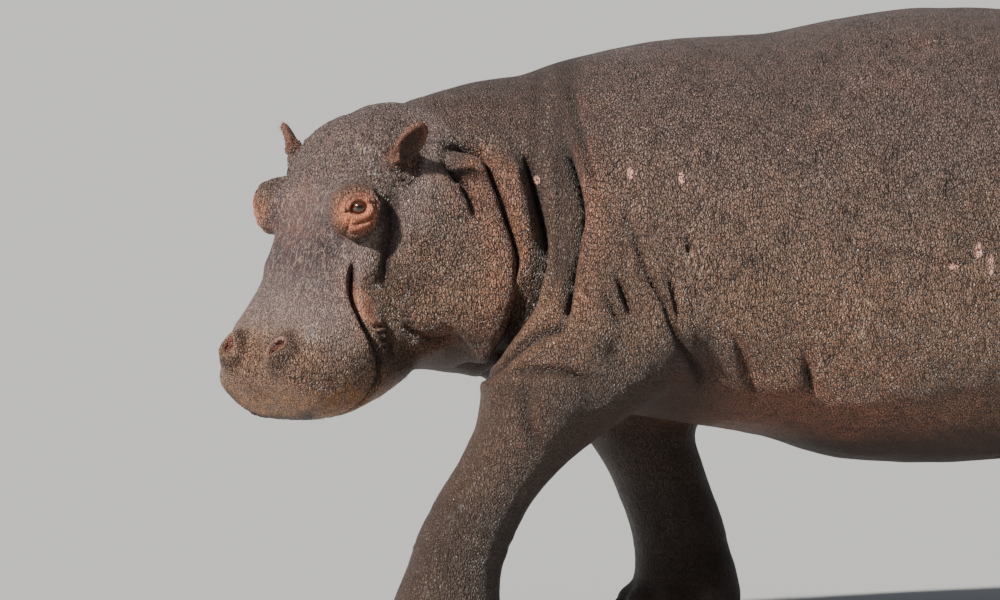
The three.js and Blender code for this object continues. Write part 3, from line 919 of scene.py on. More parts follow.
@dataclass(frozen=True)
class Relief:
    """Everything that is pressed into or raised on the hide after the net is laid."""

    head: Head
    behind_cheek: Crease = Crease(
        path=((-146, 1164), (-128, 1134), (-108, 1097), (-86, 1052), (-70, 1000)),
        width=9, depth=18, front=12, back=5, roll=20, lean=7, fade=50,
    )
    jowl: Crease = Crease(
        path=(
            (-150, 1168), (-112, 1178), (-72, 1170), (-48, 1146), (-32, 1100), (-14, 1054),
            (2, 1006), (18, 958), (27, 910), (25, 862), (13, 804), (-5, 752), (-28, 702),
            (-64, 664), (-130, 640),
        ),
        width=14, depth=40, front=27, back=8, roll=28, lean=16, fade=120, far=0.4,
    )
    second: Crease = Crease(
        path=(
            (52, 1190), (60, 1150), (68, 1112), (82, 1058), (92, 1015), (101, 972),
            (103, 924), (93, 874), (77, 828), (56, 785), (29, 737), (0, 698), (-34, 662),
            (-80, 636),
        ),
        width=17, depth=42, front=28, back=9, roll=38, lean=8, fade=80, far=0.45,
    )
    third: Crease = Crease(
        path=(
            (170, 758), (140, 752), (110, 742), (80, 722), (48, 694), (14, 663), (-20, 640),
            (-60, 622),
        ),
        width=9, depth=20, front=10, back=10, roll=22, lean=4, fade=40, far=0.6,
    )
    shoulder: Crease = Crease(
        path=(
            (146, 1212), (164, 1160), (180, 1104), (192, 1050), (196, 1008), (186, 960),
            (176, 910), (168, 860), (160, 800), (150, 745),
        ),
        width=10, depth=44, front=2, back=26, roll=22, lean=4, fade=90, far=0.7,
    )
    mouth: Crease = Crease(
        path=(
            (258, -28), (296, -48), (350, -78), (411, -128), (440, -172), (475, -205),
            (530, -224), (580, -226), (640, -192), (720, -186),
        ),
        width=6, depth=18, front=8, back=9, roll=15, fade=44, far=1.0, plane=Plane.CHEEK,
    )
    creases: tuple[Crease, ...] = (
        # the front edge of the upper arm
        Crease(((84, 650), (68, 610), (62, 560), (76, 500), (96, 450)), 11, 13, 2, 14, 30, far=0.9),
        # the thin upper end of the shoulder fold, and the fold over the upper arm
        Crease(((166, 1330), (174, 1290), (186, 1236), (204, 1180), (217, 1130), (230, 1092)),
               6.5, 13, 6, 8, 16, fade=30),
        Crease(((12, 642), (60, 652), (130, 658), (200, 640), (240, 618)), 8, 12, 6, 8, 24),
        # the neck, above the folds
        Crease(((20, 1230), (34, 1180), (44, 1120), (60, 1040)), 8, 6, 3, 2, 18, far=0.8),
        Crease(((120, 1240), (132, 1170), (142, 1090), (150, 1000)), 8, 5, 3, 2, 18, far=0.8),
        Crease(((150, 980), (142, 900), (128, 830), (112, 790)), 9, 8, 5, 3, 20, far=0.8),
        # shoulder wrinkles
        Crease(((252, 1080), (262, 1030), (276, 985), (300, 940)), 4.5, 9, 3, 3, 14),
        Crease(((284, 1060), (300, 1010), (322, 960), (340, 905)), 4.5, 9, 3, 3, 14),
        Crease(((300, 985), (330, 930), (352, 880), (378, 830)), 5.2, 12, 4, 4, 15),
        Crease(((262, 905), (282, 865), (300, 815), (318, 770)), 6, 16.5, 5, 5, 16),
        Crease(((340, 900), (366, 850), (392, 800), (404, 745)), 5.2, 12, 4, 4, 15),
        Crease(((232, 860), (252, 820), (276, 780), (290, 742)), 6, 12, 4, 4, 16),
        Crease(((436, 1010), (444, 960), (448, 915), (452, 880)), 4.5, 9, 3, 3, 14),
        Crease(((418, 1030), (424, 985), (430, 950)), 4.5, 7.5, 3, 3, 14),
        Crease(((392, 905), (404, 860), (416, 800), (424, 750)), 5.2, 10.5, 4, 4, 15),
        # behind the elbow, and along the belly
        Crease(((396, 800), (412, 745), (446, 690), (470, 640), (474, 590)), 10, 12, 8, 8, 26),
        Crease(((520, 760), (560, 720), (580, 660), (588, 600)), 9, 7, 5, 5, 24),
        Crease(((582, 660), (594, 630), (600, 590), (604, 560)), 9, 10, 6, 6, 22),
        Crease(((716, 700), (728, 662), (738, 620), (744, 580)), 10, 12, 7, 7, 26),
        Crease(((560, 800), (640, 770), (720, 752), (800, 760)), 9, 4, 3, 3, 24),
        # flank lines
        Crease(((830, 934), (900, 932), (996, 922), (1070, 900), (1140, 905)), 7, 5, 3, 3, 18),
        Crease(((1180, 990), (1120, 966), (1064, 942), (1010, 936)), 7, 4, 3, 3, 18),
        Crease(((1062, 1456), (1064, 1430), (1060, 1400)), 6, 6, 3, 3, 14, fade=20),
        Crease(((1290, 1120), (1330, 1000), (1400, 880), (1490, 760)), 13, 9, 6, 4, 34),
        # the stifle fold and the seat
        Crease(((1420, 760), (1500, 690), (1560, 620), (1590, 540)), 14, 18, 10, 10, 36),
        Crease(((1960, 1080), (1990, 980), (2000, 880), (1990, 780)), 12, 7, 5, 5, 30),
        Crease(((1900, 560), (1960, 520), (2020, 510), (2080, 530)), 10, 8, 5, 5, 26),
        # the cheek: behind the eye, under the jowl, and beside the corner of the mouth
        Crease(
            ((70, -10), (110, -32), (166, -64), (236, -96), (300, -128)),
            17, 15, 7, 6, 30, far=1.0, plane=Plane.CHEEK,
        ),
        Crease(((340, -70), (380, -98), (411, -128), (436, -166)), 8, 9, 2, 4, 14, fade=30,
               far=1.0, plane=Plane.CHEEK),
        Crease(((-244, 772), (-200, 742), (-161, 724), (-128, 730), (-90, 756)), 12, 9, 5, 6, 28),
        Crease(((-168, 866), (-150, 862), (-130, 868), (-116, 876)), 5, 4, 2, 2, 10, fade=14),
        # round the eye: two folds above, two below, the turret's edge and the tear line
        Crease(((-34, -8), (-32, 4), (-24, 19), (-8, 26), (11, 24), (28, 13), (33, -2), (28, -15)),
               3.2, 5.0, 2.2, 2.4, 6, fade=12, far=1.0, plane=Plane.EYE),
        Crease(((-46, -4), (-44, 11), (-34, 32), (-13, 40), (11, 37), (36, 22), (44, 2)),
               3.4, 4.6, 2.0, 2.2, 7, fade=20, far=1.0, plane=Plane.EYE),
        Crease(((-40, 48), (-12, 56), (16, 52), (44, 36)),
               4.0, 3.0, 1.5, 1.5, 8, fade=24, far=1.0, plane=Plane.EYE),
        Crease(((-36, -30), (-15, -34), (5, -34), (27, -25), (38, -8), (40, 6)),
               3.4, 5.0, 2.4, 2.4, 7, fade=14, far=1.0, plane=Plane.EYE),
        Crease(((-47, -47), (-21, -51), (5, -50), (29, -39), (42, -20), (46, -6)),
               3.8, 5.0, 2.2, 2.2, 8, fade=16, far=1.0, plane=Plane.EYE),
        Crease(((48, 34), (54, 12), (53, -8), (47, -28), (29, -52), (4, -66), (-28, -71),
                (-56, -68)), 7.0, 10.0, 3.5, 2.0, 12, fade=22, far=1.0, plane=Plane.EYE),
        Crease(((-29, -14), (-34, -24), (-42, -37), (-54, -52)),
               3.2, 4.5, 1.5, 1.5, 6, fade=10, far=1.0, plane=Plane.EYE),
        # between the brows, and down the middle of the nose
        Crease(((132, 66), (108, 34), (98, 0)), 7, 5, 3, 3, 14, far=1.0, plane=Plane.BROW),
        Crease(((100, 58), (76, 30), (66, 0)), 7, 4, 3, 3, 14, far=1.0, plane=Plane.BROW),
        Crease(((546, 14), (576, 14), (604, 12)), 5, 5, 3, 3, 10, fade=16, far=1.0,
               plane=Plane.BROW),
    )
    swellings: tuple[Swelling, ...] = (
        Swelling((-60, 890), (66, 120), 15),  # jowl
        Swelling((44, 930), (30, 150), 10),  # second roll of the neck
        Swelling((122, 990), (26, 190), 13),  # third roll
        Swelling((164, 960), (26, 170), -8),
        Swelling((214, 1080), (13, 26), 20, far=0.3),  # lobe on the shoulder fold
        Swelling((214, 1004), (10, 30), 10, far=0.3),
        Swelling((204, 950), (11, 26), 8, far=0.3),
        Swelling((-92, 1120), (26, 44), 9, turn=-60),  # roll behind the ear
        Swelling((20, 60), (80, 90), -13, far=1.3, plane=Plane.BROW),  # crown
        Swelling((560, 150), (40, 46), 7, far=1.0, plane=Plane.BROW),  # corners of the muzzle
        Swelling((228, 735), (52, 44), 17),  # point of the shoulder
        Swelling((272, 706), (34, 40), -9),
        Swelling((316, 820), (44, 62), -10),
        Swelling((132, 590), (56, 66), 16),  # upper arm
        Swelling((430, 705), (44, 60), 9),
        Swelling((530, 610), (60, 34), 12),
        Swelling((668, 600), (52, 30), 9),
        Swelling((820, 580), (86, 46), 14),
        Swelling((1600, 1190), (190, 110), 16),  # hip
        Swelling((1890, 880), (120, 200), 14),  # buttock
        Swelling((330, 1120), (120, 190), 10),  # shoulder blade
        Swelling((330, -210), (60, 50), 8, far=1.0, plane=Plane.CHEEK),  # lower lip
        Swelling((470, -130), (80, 60), 10, far=1.0, plane=Plane.CHEEK),  # whisker pad
        Swelling((230, -250), (90, 60), 8, far=1.0, plane=Plane.CHEEK),  # chewing muscle
    )
    lip_folds: int = 5
    collar_pitch: float = 11.0  # of the folds round the roots of the ears
    collar_height: float = 3.6
    coarse: Noise = Noise(11)
    fine: Noise = Noise(12)

    @cached_property
    def all_creases(self) -> tuple[Crease, ...]:
        """Every crease, the named ones and the short folds beside the corner of the mouth."""
        named = (self.behind_cheek, self.jowl, self.second, self.third, self.shoulder)
        folds = tuple(
            Crease(
                ((392 + 9 * k, -134 - 15 * k), (380 + 9 * k, -152 - 14 * k),
                 (364 + 9 * k, -176 - 13 * k)),
                4.5, 6, 3, 3, 9, fade=12, far=1.0, plane=Plane.CHEEK,
            )
            for k in range(self.lip_folds)
        )
        return (*named, self.mouth, *folds, *self.creases)

    def flat(self, plane: Plane, points: Array, local: Array) -> Array:
        """Places on a crease's plane, from the body's and the head's frame."""
        if plane is Plane.CHEEK:
            return local[:, [0, 2]]
        if plane is Plane.BROW:
            return np.stack([local[:, 0], np.abs(local[:, 1])], 1)
        if plane is Plane.EYE:
            return self.head.eye.to_local(self.head.mirror(local))[:, :2]
        return np.stack([along_flank(points), points[:, 2]], 1)

    def outward(self, plane: Plane, points: Array, local: Array, normals: Array) -> Array:
        """How far the surface faces the plane, so that inner and hidden sides stay plain."""
        if plane is Plane.BROW:
            facing = normals @ self.head.axes[2]
            return ramp(-0.1, 0.3, facing) * ramp(165, 110, np.abs(local[:, 1]))
        if plane is Plane.EYE:
            out = self.head.eye.to_local(self.head.mirror(local))[:, 2]
            near = np.linalg.norm(self.head.mirror(local) - self.head.eye.at, axis=1) < 110
            return ramp(-45, -12, out) * near
        if plane is Plane.CHEEK:
            facing = (normals @ self.head.axes[1]) * np.sign(local[:, 1])
            front = normals @ self.head.axes[0]
            near = self.head.loft.distance(local) < 50
            return ramp(-0.25, 0.1, np.maximum(facing, front)) * near
        facing = normals[:, 1] * np.where(points[:, 1] < 0, -1, 1)
        return ramp(-0.5, -0.15, facing)

    def nearness_to(self, crease: Crease, points: Array, local: Array) -> Array:
        """1 on a crease and 0 beyond its rolls."""
        flat = self.flat(crease.plane, points, local)
        line = crease.line
        reach = 2.4 * crease.width + 12
        near = ((flat > line.min(0) - reach) & (flat < line.max(0) + reach)).all(1)
        if crease.plane is not Plane.FLANK:
            near &= self.head.loft.distance(local) < 60
        nearness = np.zeros(len(points))
        if near.any():
            away, _ = crease.measure(flat[near])
            nearness[near] = ramp(reach, 0.4 * reach, np.abs(away))
        return nearness

    def nearness(self, points: Array, local: Array) -> Array:
        """The greatest nearness to any crease."""
        chosen = [crease for crease in self.all_creases if crease.depth >= 5]
        return np.max([self.nearness_to(crease, points, local) for crease in chosen], axis=0)

    def apply(self, points: Array, triangles: Array) -> tuple[Array, Array, Array]:
        """Moves the net's points.

        Returns:
            The moved points, how deep in a groove each lies, which the finish paints as shade, and
            how high on a fold, 0 to 1.
        """
        normals = normals_of(points, triangles)
        local = self.head.to_local(points)
        height, dark, ridge = (np.zeros(len(points)) for _ in range(3))
        lean = np.zeros(len(points))
        facing = {plane: self.outward(plane, points, local, normals) for plane in Plane}
        flats = {plane: self.flat(plane, points, local) for plane in Plane}
        right = {plane: local[:, 1] < 0 for plane in Plane}
        right[Plane.FLANK] = points[:, 1] > 0
        for crease in self.all_creases:
            flat, line, reach = flats[crease.plane], crease.line, crease.reach()
            near = ((flat > line.min(0) - reach) & (flat < line.max(0) + reach)).all(1)
            near &= facing[crease.plane] > 0
            away, faded = crease.measure(flat[near])
            share = faded * facing[crease.plane][near]
            share *= np.where(right[crease.plane][near], crease.far, 1)
            rise, over, groove = crease.shape(away)
            height[near] += rise * share
            lean[near] += over * share
            # painted shade: darker the deeper the groove
            dark[near] = np.maximum(dark[near], groove * share * min(1, crease.depth / 14))
            crest = np.maximum(rise, 0) * share / 20
            ridge[near] = np.maximum(ridge[near], crest)
        for swelling in self.swellings:
            rise = swelling.rise(flats[swelling.plane]) * facing[swelling.plane]
            height += rise * np.where(right[swelling.plane], swelling.far, 1)
        rings, ring_shade = self.rings(local)
        height += rings
        dark = np.maximum(dark, ring_shade)
        height += self.wrinkles(points, local, normals)
        moved = points + height[:, None] * normals
        back = np.array([1.0, 0, 0]) - normals * normals[:, :1]
        moved += lean[:, None] * back
        moved += self.cups(local, dark)
        return moved, dark, np.minimum(ridge, 1)

    def rings(self, local: Array) -> tuple[Array, Array]:
        """Folds round the roots of the ears, rims of lids and nostrils, and the shade painted in
        the folds' troughs and round the nostrils.

        The folds are waves of the distance round the root, strongest close by. A rim is a bell
        of the distance from its opening.
        """
        mirrored = self.head.mirror(local)
        around, _ = self.head.eye.ring(mirrored)
        height = 2.4 * bell(around - 24, 5) * (around < 60)
        nostril = np.full(len(local), 99.0)
        away = np.linalg.norm(mirrored - self.head.nostril_at, axis=1)
        near = away < self.head.opening_reach
        nostril[near] = self.head.in_nostril(mirrored[near])
        height += 5.0 * bell(nostril - 7, 7)
        dark = 0.55 * bell(nostril - 20, 8)
        for side, ear in self.head.ears:
            along, across, out = ear.to_local(local * (1, side, 1)).T
            root = np.hypot(np.hypot(across, out), np.minimum(along, 30) * 0.8)
            on_side = ramp(62, 44, along) * ramp(-90, -50, along)
            on_side = on_side * (local[:, 1] * side > 0)
            reach = ramp(20, 30, root) * ramp(74, 44, root) * on_side
            wave = np.cos(2 * np.pi * root / self.collar_pitch)
            height = height + self.collar_height * wave * reach
            dark = np.maximum(dark, np.where(wave < 0, -wave, 0) * reach * 0.5)
        return height, dark

    def wrinkles(self, points: Array, local: Array, normals: Array) -> Array:
        """Unevenness of the hide: broad waves, upright wrinkles, and a rough crown."""
        height = 2.6 * self.coarse(points / 150) + 1.6 * self.fine(points / 62)
        bent = points + 14 * np.stack([self.coarse(points / 70 + k) for k in (3, 7, 9)], 1)
        ridge = 1 - np.abs(self.fine(bent / (26, 26, 84)))
        loose = ramp(900, 250, points[:, 0]) * ramp(330, 520, points[:, 2])
        on_head = self.head.loft.distance(local) < 40
        loose = np.where(on_head, 0.25, loose)
        side = 1 - np.abs(normals[:, 2]) ** 2
        height += (0.6 + 2.6 * loose) * (ridge - 0.75) * side
        crown = ramp(190, 60, local[:, 0]) * on_head * ramp(-60, 10, local[:, 2])
        height += 3.2 * crown * (1 - 2 * np.abs(self.fine(local / (17, 13, 17))))
        snout = ramp(470, 540, local[:, 0]) * on_head
        height += 1.2 * snout * self.fine(local / 13)
        wrist = bell(points[:, 2] - 235, 70) * (points[:, 2] < 400)
        level = self.fine(bent / (90, 90, 21))
        return height + 3.2 * wrist * (0.5 - np.abs(level))

    def cups(self, local: Array, dark: Array) -> Array:
        """The shift that presses the ears' cups in. Darkens them too, as painted shade in the
        hollows.
        """
        shift = np.zeros_like(local)
        for side, ear in self.head.ears:
            near = np.linalg.norm(local * (1, side, 1) - ear.root, axis=1) < 180
            depth = ear.cup(local[near] * (1, side, 1))
            inward = -(ear.axes[2] * (1, side, 1)) @ self.head.axes
            shift[near] += ear.cup_depth * depth[:, None] * inward
            dark[near] = np.maximum(dark[near], 0.75 * depth)
        return shift


# ---- the hide's shape


@dataclass
class HideShape:
    """The animal's whole outer form as one distance field."""

    head: Head = Head()
    thicker: float = 0.0  # how much thin parts are thickened at present

    def distance(self, points: Array) -> Array:
        """Distance outside the animal, from points in millimetres in the body's frame."""
        form = TRUNK.distance(points)
        for leg in LEGS:
            form = fuse(form, within(points, *leg.box(), leg.distance), leg.blend)
        tail = within(
            points,
            np.array([2000.0, -200, 560]),
            np.array([2400.0, 200, 1300]),
            lambda near: TAIL.distance(near) - self.thicker,
        )
        form = fuse(form, tail, 40.0)
        return self._with_head(points, form)

    def _with_head(self, points: Array, form: Array) -> Array:
        """Joins the head on: softly at nape and throat, tightly behind the jowl."""
        near = (points[:, 0] < 330) & (points[:, 2] > 380)
        if not near.any():
            return form
        local = self.head.to_local(points[near])
        throat = ramp(110, 230, local[:, 0]) * ramp(-190, -290, local[:, 2])
        nape = ramp(-160, -40, local[:, 2]) * ramp(150, 60, local[:, 0])
        blend = 26 + 84 * np.maximum(throat, nape)
        joined = fuse(form[near], self.head.distance(local, self.thicker), blend)
        form = form.copy()
        form[near] = joined
        return form


@dataclass(frozen=True)
class Net:
    """How finely each region of the hide is netted: the edge length wanted there."""

    room: tuple[Triple, Triple] = ((-780.0, -640.0, -30.0), (2330.0, 640.0, 1560.0))
    thicker: tuple[float, ...] = (12.0, 8.0, 5.0, 2.0, 0.0, 0.0)  # of thin parts, pass by pass
    first: float = 24.0
    flank: float = 19.0
    far_flank: float = 22.0
    neck: float = 12.5
    fold: float = 7.6
    foot: float = 12.5
    tail: float = 10.0
    head: float = 10.0
    face: float = 7.6
    lips: float = 5.2
    ear: float = 5.0
    eye: float = 2.8
    nostril: float = 3.2

    def wanted(self, shape: HideShape, relief: Relief, points: Array) -> Array:
        """The edge length wanted at each place: long on the barrel, short round the eyes."""
        head = shape.head
        local = head.to_local(points)
        mirrored = head.mirror(local)
        length = np.where(points[:, 1] < 200, self.flank, self.far_flank)
        front = ramp(420, 300, points[:, 0]) * ramp(420, 540, points[:, 2])
        length = np.minimum(length, self.flank + (self.neck - self.flank) * front)
        length[points[:, 2] < 210] = self.foot
        length[(points[:, 0] > 2170) & (points[:, 2] < 1080)] = self.tail
        on_head = (points[:, 0] < 60) & (head.loft.distance(local) < 60)
        length[on_head] = self.head
        length[on_head & (local[:, 0] > 60) & (local[:, 2] > -200)] = self.face
        crease = relief.nearness(points, local)
        length = np.minimum(length, self.fold + 14 * (1 - crease))
        lips = relief.nearness_to(relief.mouth, points, local)
        length = np.minimum(length, self.lips + 16 * (1 - lips))
        for side, ear in head.ears:
            along, across, out = ear.to_local(local * (1, side, 1)).T
            on_ear = (along > 12) & (np.hypot(across, out) < 60) & (along < 170)
            length[on_ear & (local[:, 1] * side > 0)] = self.ear
        eye = np.linalg.norm(mirrored - head.eye.at, axis=1)
        length = np.minimum(length, self.eye + 0.16 * np.maximum(eye - 44, 0))
        nostril = np.linalg.norm(mirrored - head.nostril_at, axis=1)
        return np.minimum(length, self.nostril + 0.14 * np.maximum(nostril - 30, 0))


def make_net(shape: HideShape, relief: Relief, net: Net) -> tuple[Array, Array]:
    """Lays a net over the whole animal and refines it in steps."""
    low, high = (np.array(corner) for corner in net.room)
    shape.thicker = net.thicker[0]
    points, triangles = surface_net(shape.distance, low, high, net.first)
    for thicker in net.thicker[1:]:
        shape.thicker = thicker
        points, _ = draw_onto(shape.distance, points, 3.0)
        wanted = net.wanted(shape, relief, points)
        points, triangles = split_long_edges(points, triangles, wanted)
        for _ in range(2):
            points = relax(shape, points, triangles)
    return points, triangles


EVENING = 0.6  # how far each point moves towards the middle of its neighbours


def relax(shape: HideShape, points: Array, triangles: Array) -> Array:
    """Evens the net out along the surface, then draws it back onto the field."""
    edges, _ = edges_of(triangles, len(points))
    normals = normals_of(points, triangles)
    move = mean_of_neighbours(points, edges) - points
    move -= (move * normals).sum(1, keepdims=True) * normals
    return draw_onto(shape.distance, points + EVENING * move, 1.5)[0]


def to_frame(points: Array, shift: Array) -> Array:
    """Places in the body's frame, in millimetres, as metres in the part's frame."""
    return (points - shift) * MM


# ---- markings


@dataclass(frozen=True)
class Markings:
    """Where the hide is pinker, greyer, muddier, smoother or wetter, and where shade and light are
    painted on it, as shares from 0 to 1.
    """

    head: Head
    noise: Noise = Noise(21)

    def masks(
        self, points: Array, triangles: Array, dark: Array, ridge: Array
    ) -> dict[str, Array]:
        """The shares at each point, by the names that the finish reads."""
        head = self.head
        normals = normals_of(points, triangles)
        local = head.to_local(points)
        mirrored = head.mirror(local)
        x, y, z = mirrored.T
        ahead, height = points[:, 0], points[:, 2]
        blot = self.noise(points / 95)
        small = self.noise(points / 34)
        skull = ramp(60, 20, head.loft.distance(local)) * (ahead < 60)
        around, high = head.eye.ring(mirrored)
        at_eye = head.eye.to_local(mirrored)
        long, _, out = at_eye.T
        # the head: the ring round the eye, its cool top, its muddy muzzle, lips and jaw
        turret = np.hypot((long + 9) / 58, (high + 3) / 66) + 0.16 * small
        ring = ramp(1.2, 0.62, turret) * (1 - 0.75 * ramp(10, 50, high))
        ring = ring * ramp(-48, -20, out) * (around < 330)
        # on the right eye the ring fades towards the top and the outer corner, as painted shade and
        # sheen there
        ring = ring * np.where(local[:, 1] < 0, ramp(30, -10, high + long), 1)
        ears, cups = self._ears(local)
        brow = normals @ head.axes[2]
        cool = skull * ramp(-150, -50, z) * ramp(0.0, 0.5, brow)
        cool = cool * ramp(540, 430, x) * (1 - ring) * (1 - ears)
        mud = skull * ramp(530, 630, 0.9 * x - 0.55 * z + 26 * blot)
        down, over = 0.57 * (x - 348) - 0.82 * (z + 103), 0.82 * (x - 348) + 0.57 * (z + 103)
        lips = skull * ramp(1.25, 0.5, np.hypot(down / 66, over / 30) + 0.2 * small)
        jaw = np.hypot((x - 424) / 50, (z + 182) / 46) + 0.2 * small
        bridge = cool * bell(x - 265, 120) * ramp(165, 110, y)
        plum = np.maximum(bridge, 0.5 * skull * ramp(1.1, 0.6, jaw))
        stripe = skull * bell(x - 250, 90) * bell(z + 62, 26) * ramp(0.3, -0.2, brow)
        # the body: its underside, its lower parts, wet and with painted shade, and the painted
        # shadow that the head and folds cast on the neck
        under = ramp(-0.15, -0.75, normals[:, 2] + 0.18 * blot)
        belly = under * (height > 470) * (ahead > 300) * ramp(1500, 700, ahead)
        throat = under * (height > 470) * (ahead < 330) + skull * ramp(-230, -340, z)
        behind_ear = np.hypot(points[:, 0] + 100, points[:, 2] - 1120) + 16 * small
        behind_ear = ramp(90, 30, behind_ear) * (points[:, 1] < 0)
        warm = ramp(1330, 760, height + 70 * blot) * (1 - 0.5 * cool)
        water = ramp(450, 330, height + 22 * blot)
        back = self.noise(points / 260)
        # wet skin low down, darkened further as painted shade on the forelegs, in the shoulder's
        # hollow and under the jaw
        damp_and_shade = ramp(800, 600, height + 34 * blot) * ramp(560, 380, ahead)
        hollow = np.hypot((ahead - 330) / 190, (height - 660) / 150) + 0.25 * back
        damp_and_shade = np.maximum(damp_and_shade, ramp(1.0, 0.3, hollow)) * (1 - skull)
        jaw_only = 1 - skull * ramp(390, 480, x)
        low = ramp(730, 630, height + 30 * blot) * (ahead < 240)
        damp_and_shade = np.maximum(damp_and_shade, low * jaw_only)
        damp_and_shade = np.maximum(damp_and_shade, ramp(540, 440, height + 30 * blot))
        # painted shadow that the head and the rolls of the neck cast on the neck and shoulder
        nape = bell(ahead + 20, 190) * ramp(1150, 1240, height) * (1 - skull)
        along = along_flank(points)
        third = bell(along - 152, 48) * ramp(780, 900, height + 40 * blot)
        second = bell(along - 84, 36) * ramp(960, 1090, height + 40 * blot)
        top = bell(along - 120, 110) * ramp(1050, 1170, height + 40 * blot)
        front = bell(along - 300, 90) * bell(height - 860, 120)
        painted_neck_shadow = np.maximum.reduce(
            [0.5 * nape, 0.92 * third, 0.8 * second, 0.5 * top, 0.5 * front]
        )
        painted_neck_shadow = painted_neck_shadow * (1 - skull)
        # pink skin on fold crests and in the neck's second roll, lightened as painted light where
        # light falls on them
        inner = bell(along - 60, 24) * bell(height - 925, 80) * (1 - skull)
        pink = np.maximum.reduce(
            [0.5 * ridge * (ahead < 420), 0.7 * lips, 0.5 * stripe, 0.7 * belly, 0.4 * throat,
             0.5 * behind_ear, 0.6 * inner]
        )
        smooth = np.maximum.reduce([0.4 * cool, 0.55 * ring, 0.6 * ears, 0.35 * mud, 0.5 * lips])
        smooth = np.maximum(smooth, 0.65 * ramp(150, 60, height))
        crown = skull * ramp(190, 70, x) * ramp(-70, 0, z)
        opening = head.in_nostril(mirrored)
        # painted shade along the edges of the lids
        lids = ramp(3.2, 0.8, head.eye.pit_distance(at_eye))
        lids = lids * (np.hypot(long, high) < 40) * (np.abs(out - 22) < 20) * (skull > 0)
        return {
            # painted shade in creases, folds, round the nostrils, in the ears' cups and along the
            # lids
            "groove": np.maximum(dark, lids),
            "pink": np.clip(pink, 0, 1),
            "ring": np.clip(ring, 0, 1),
            "ear": np.clip(ears * (1 - cups), 0, 1),
            "cup": cups,
            "cool": cool,
            "mud": mud,
            "warm": warm,
            # real wetness together with painted shade and painted shadow, in one colour
            "wet_and_shade": np.maximum.reduce([water, 0.85 * damp_and_shade, painted_neck_shadow]),
            "plum": plum,
            "smooth": smooth * (1 - crown),
            "gloss": np.clip(0.9 * cool + 0.6 * crown + 0.4 * mud + water, 0, 1),
            "cracked": ramp(250, 420, ahead) * ramp(420, 560, height),
            "nostril": ramp(2, -5, opening) * skull,
            "rim": bell(opening - 4, 4) * skull,
        }

    def _ears(self, local: Array) -> tuple[Array, Array]:
        """Shares of ear skin, and of the insides of the ears' cups."""
        ears, cups = np.zeros(len(local)), np.zeros(len(local))
        for side, ear in self.head.ears:
            place = local * (1, side, 1)
            along, across, out = ear.to_local(place).T
            near = ramp(60, 36, np.hypot(across, out)) * ramp(-14, 22, along)
            near = near * (along < 190) * (place[:, 1] > 0)
            ears = np.maximum(ears, near)
            cups = np.maximum(cups, ramp(0.05, 0.6, ear.cup(place)) * near)
        return ears, cups


# ---- finishes


def operator(kind: str, turned: bool = False) -> Callable[["Socket", float], "Socket"]:
    """A method that joins a socket and another value with a Math node, turned round if asked."""

    def method(self: "Socket", other: "Socket | float") -> "Socket":
        """The Math node's result."""
        return self.math(kind, *((other, self) if turned else (self, other)))

    return method


class Socket:
    """A node's output in a material. Arithmetic on it adds Math nodes."""

    __add__, __radd__ = operator("ADD"), operator("ADD", True)
    __sub__, __rsub__ = operator("SUBTRACT"), operator("SUBTRACT", True)
    __mul__, __rmul__ = operator("MULTIPLY"), operator("MULTIPLY", True)

    def __init__(self, graph: "Graph", output: bpy.types.NodeSocket) -> None:
        """Wraps an output of one of the graph's nodes."""
        self.graph = graph
        self.output = output

    def math(self, operation: str, *values: "Socket | float") -> "Socket":
        """The result of a Math node on some values."""
        return self.graph.add("Math", {"operation": operation}, dict(enumerate(values)))

    def __abs__(self) -> "Socket":
        """Its size without its sign."""
        return self.math("ABSOLUTE", self)

    def highest(self, other: "Socket | float") -> "Socket":
        """The larger of two values."""
        return self.math("MAXIMUM", self, other)

    def step(self, low: float, high: float) -> "Socket":
        """0 up to low, 1 beyond high, with an S-shaped rise. Low may be above high."""
        start, end = (0.0, 1.0) if low < high else (1.0, 0.0)
        return self.graph.add(
            "MapRange",
            {"interpolation_type": "SMOOTHSTEP"},
            {0: self, 1: min(low, high), 2: max(low, high), 3: start, 4: end},
        )


Colour = tuple[float, float, float, float]


def paint(red: float, green: float, blue: float) -> Colour:
    """A display colour, each part from 0 to 255, as the light it stands for."""
    parts = (np.array([red, green, blue]) / 255) ** 2.2
    return (*(float(part) for part in parts), 1.0)


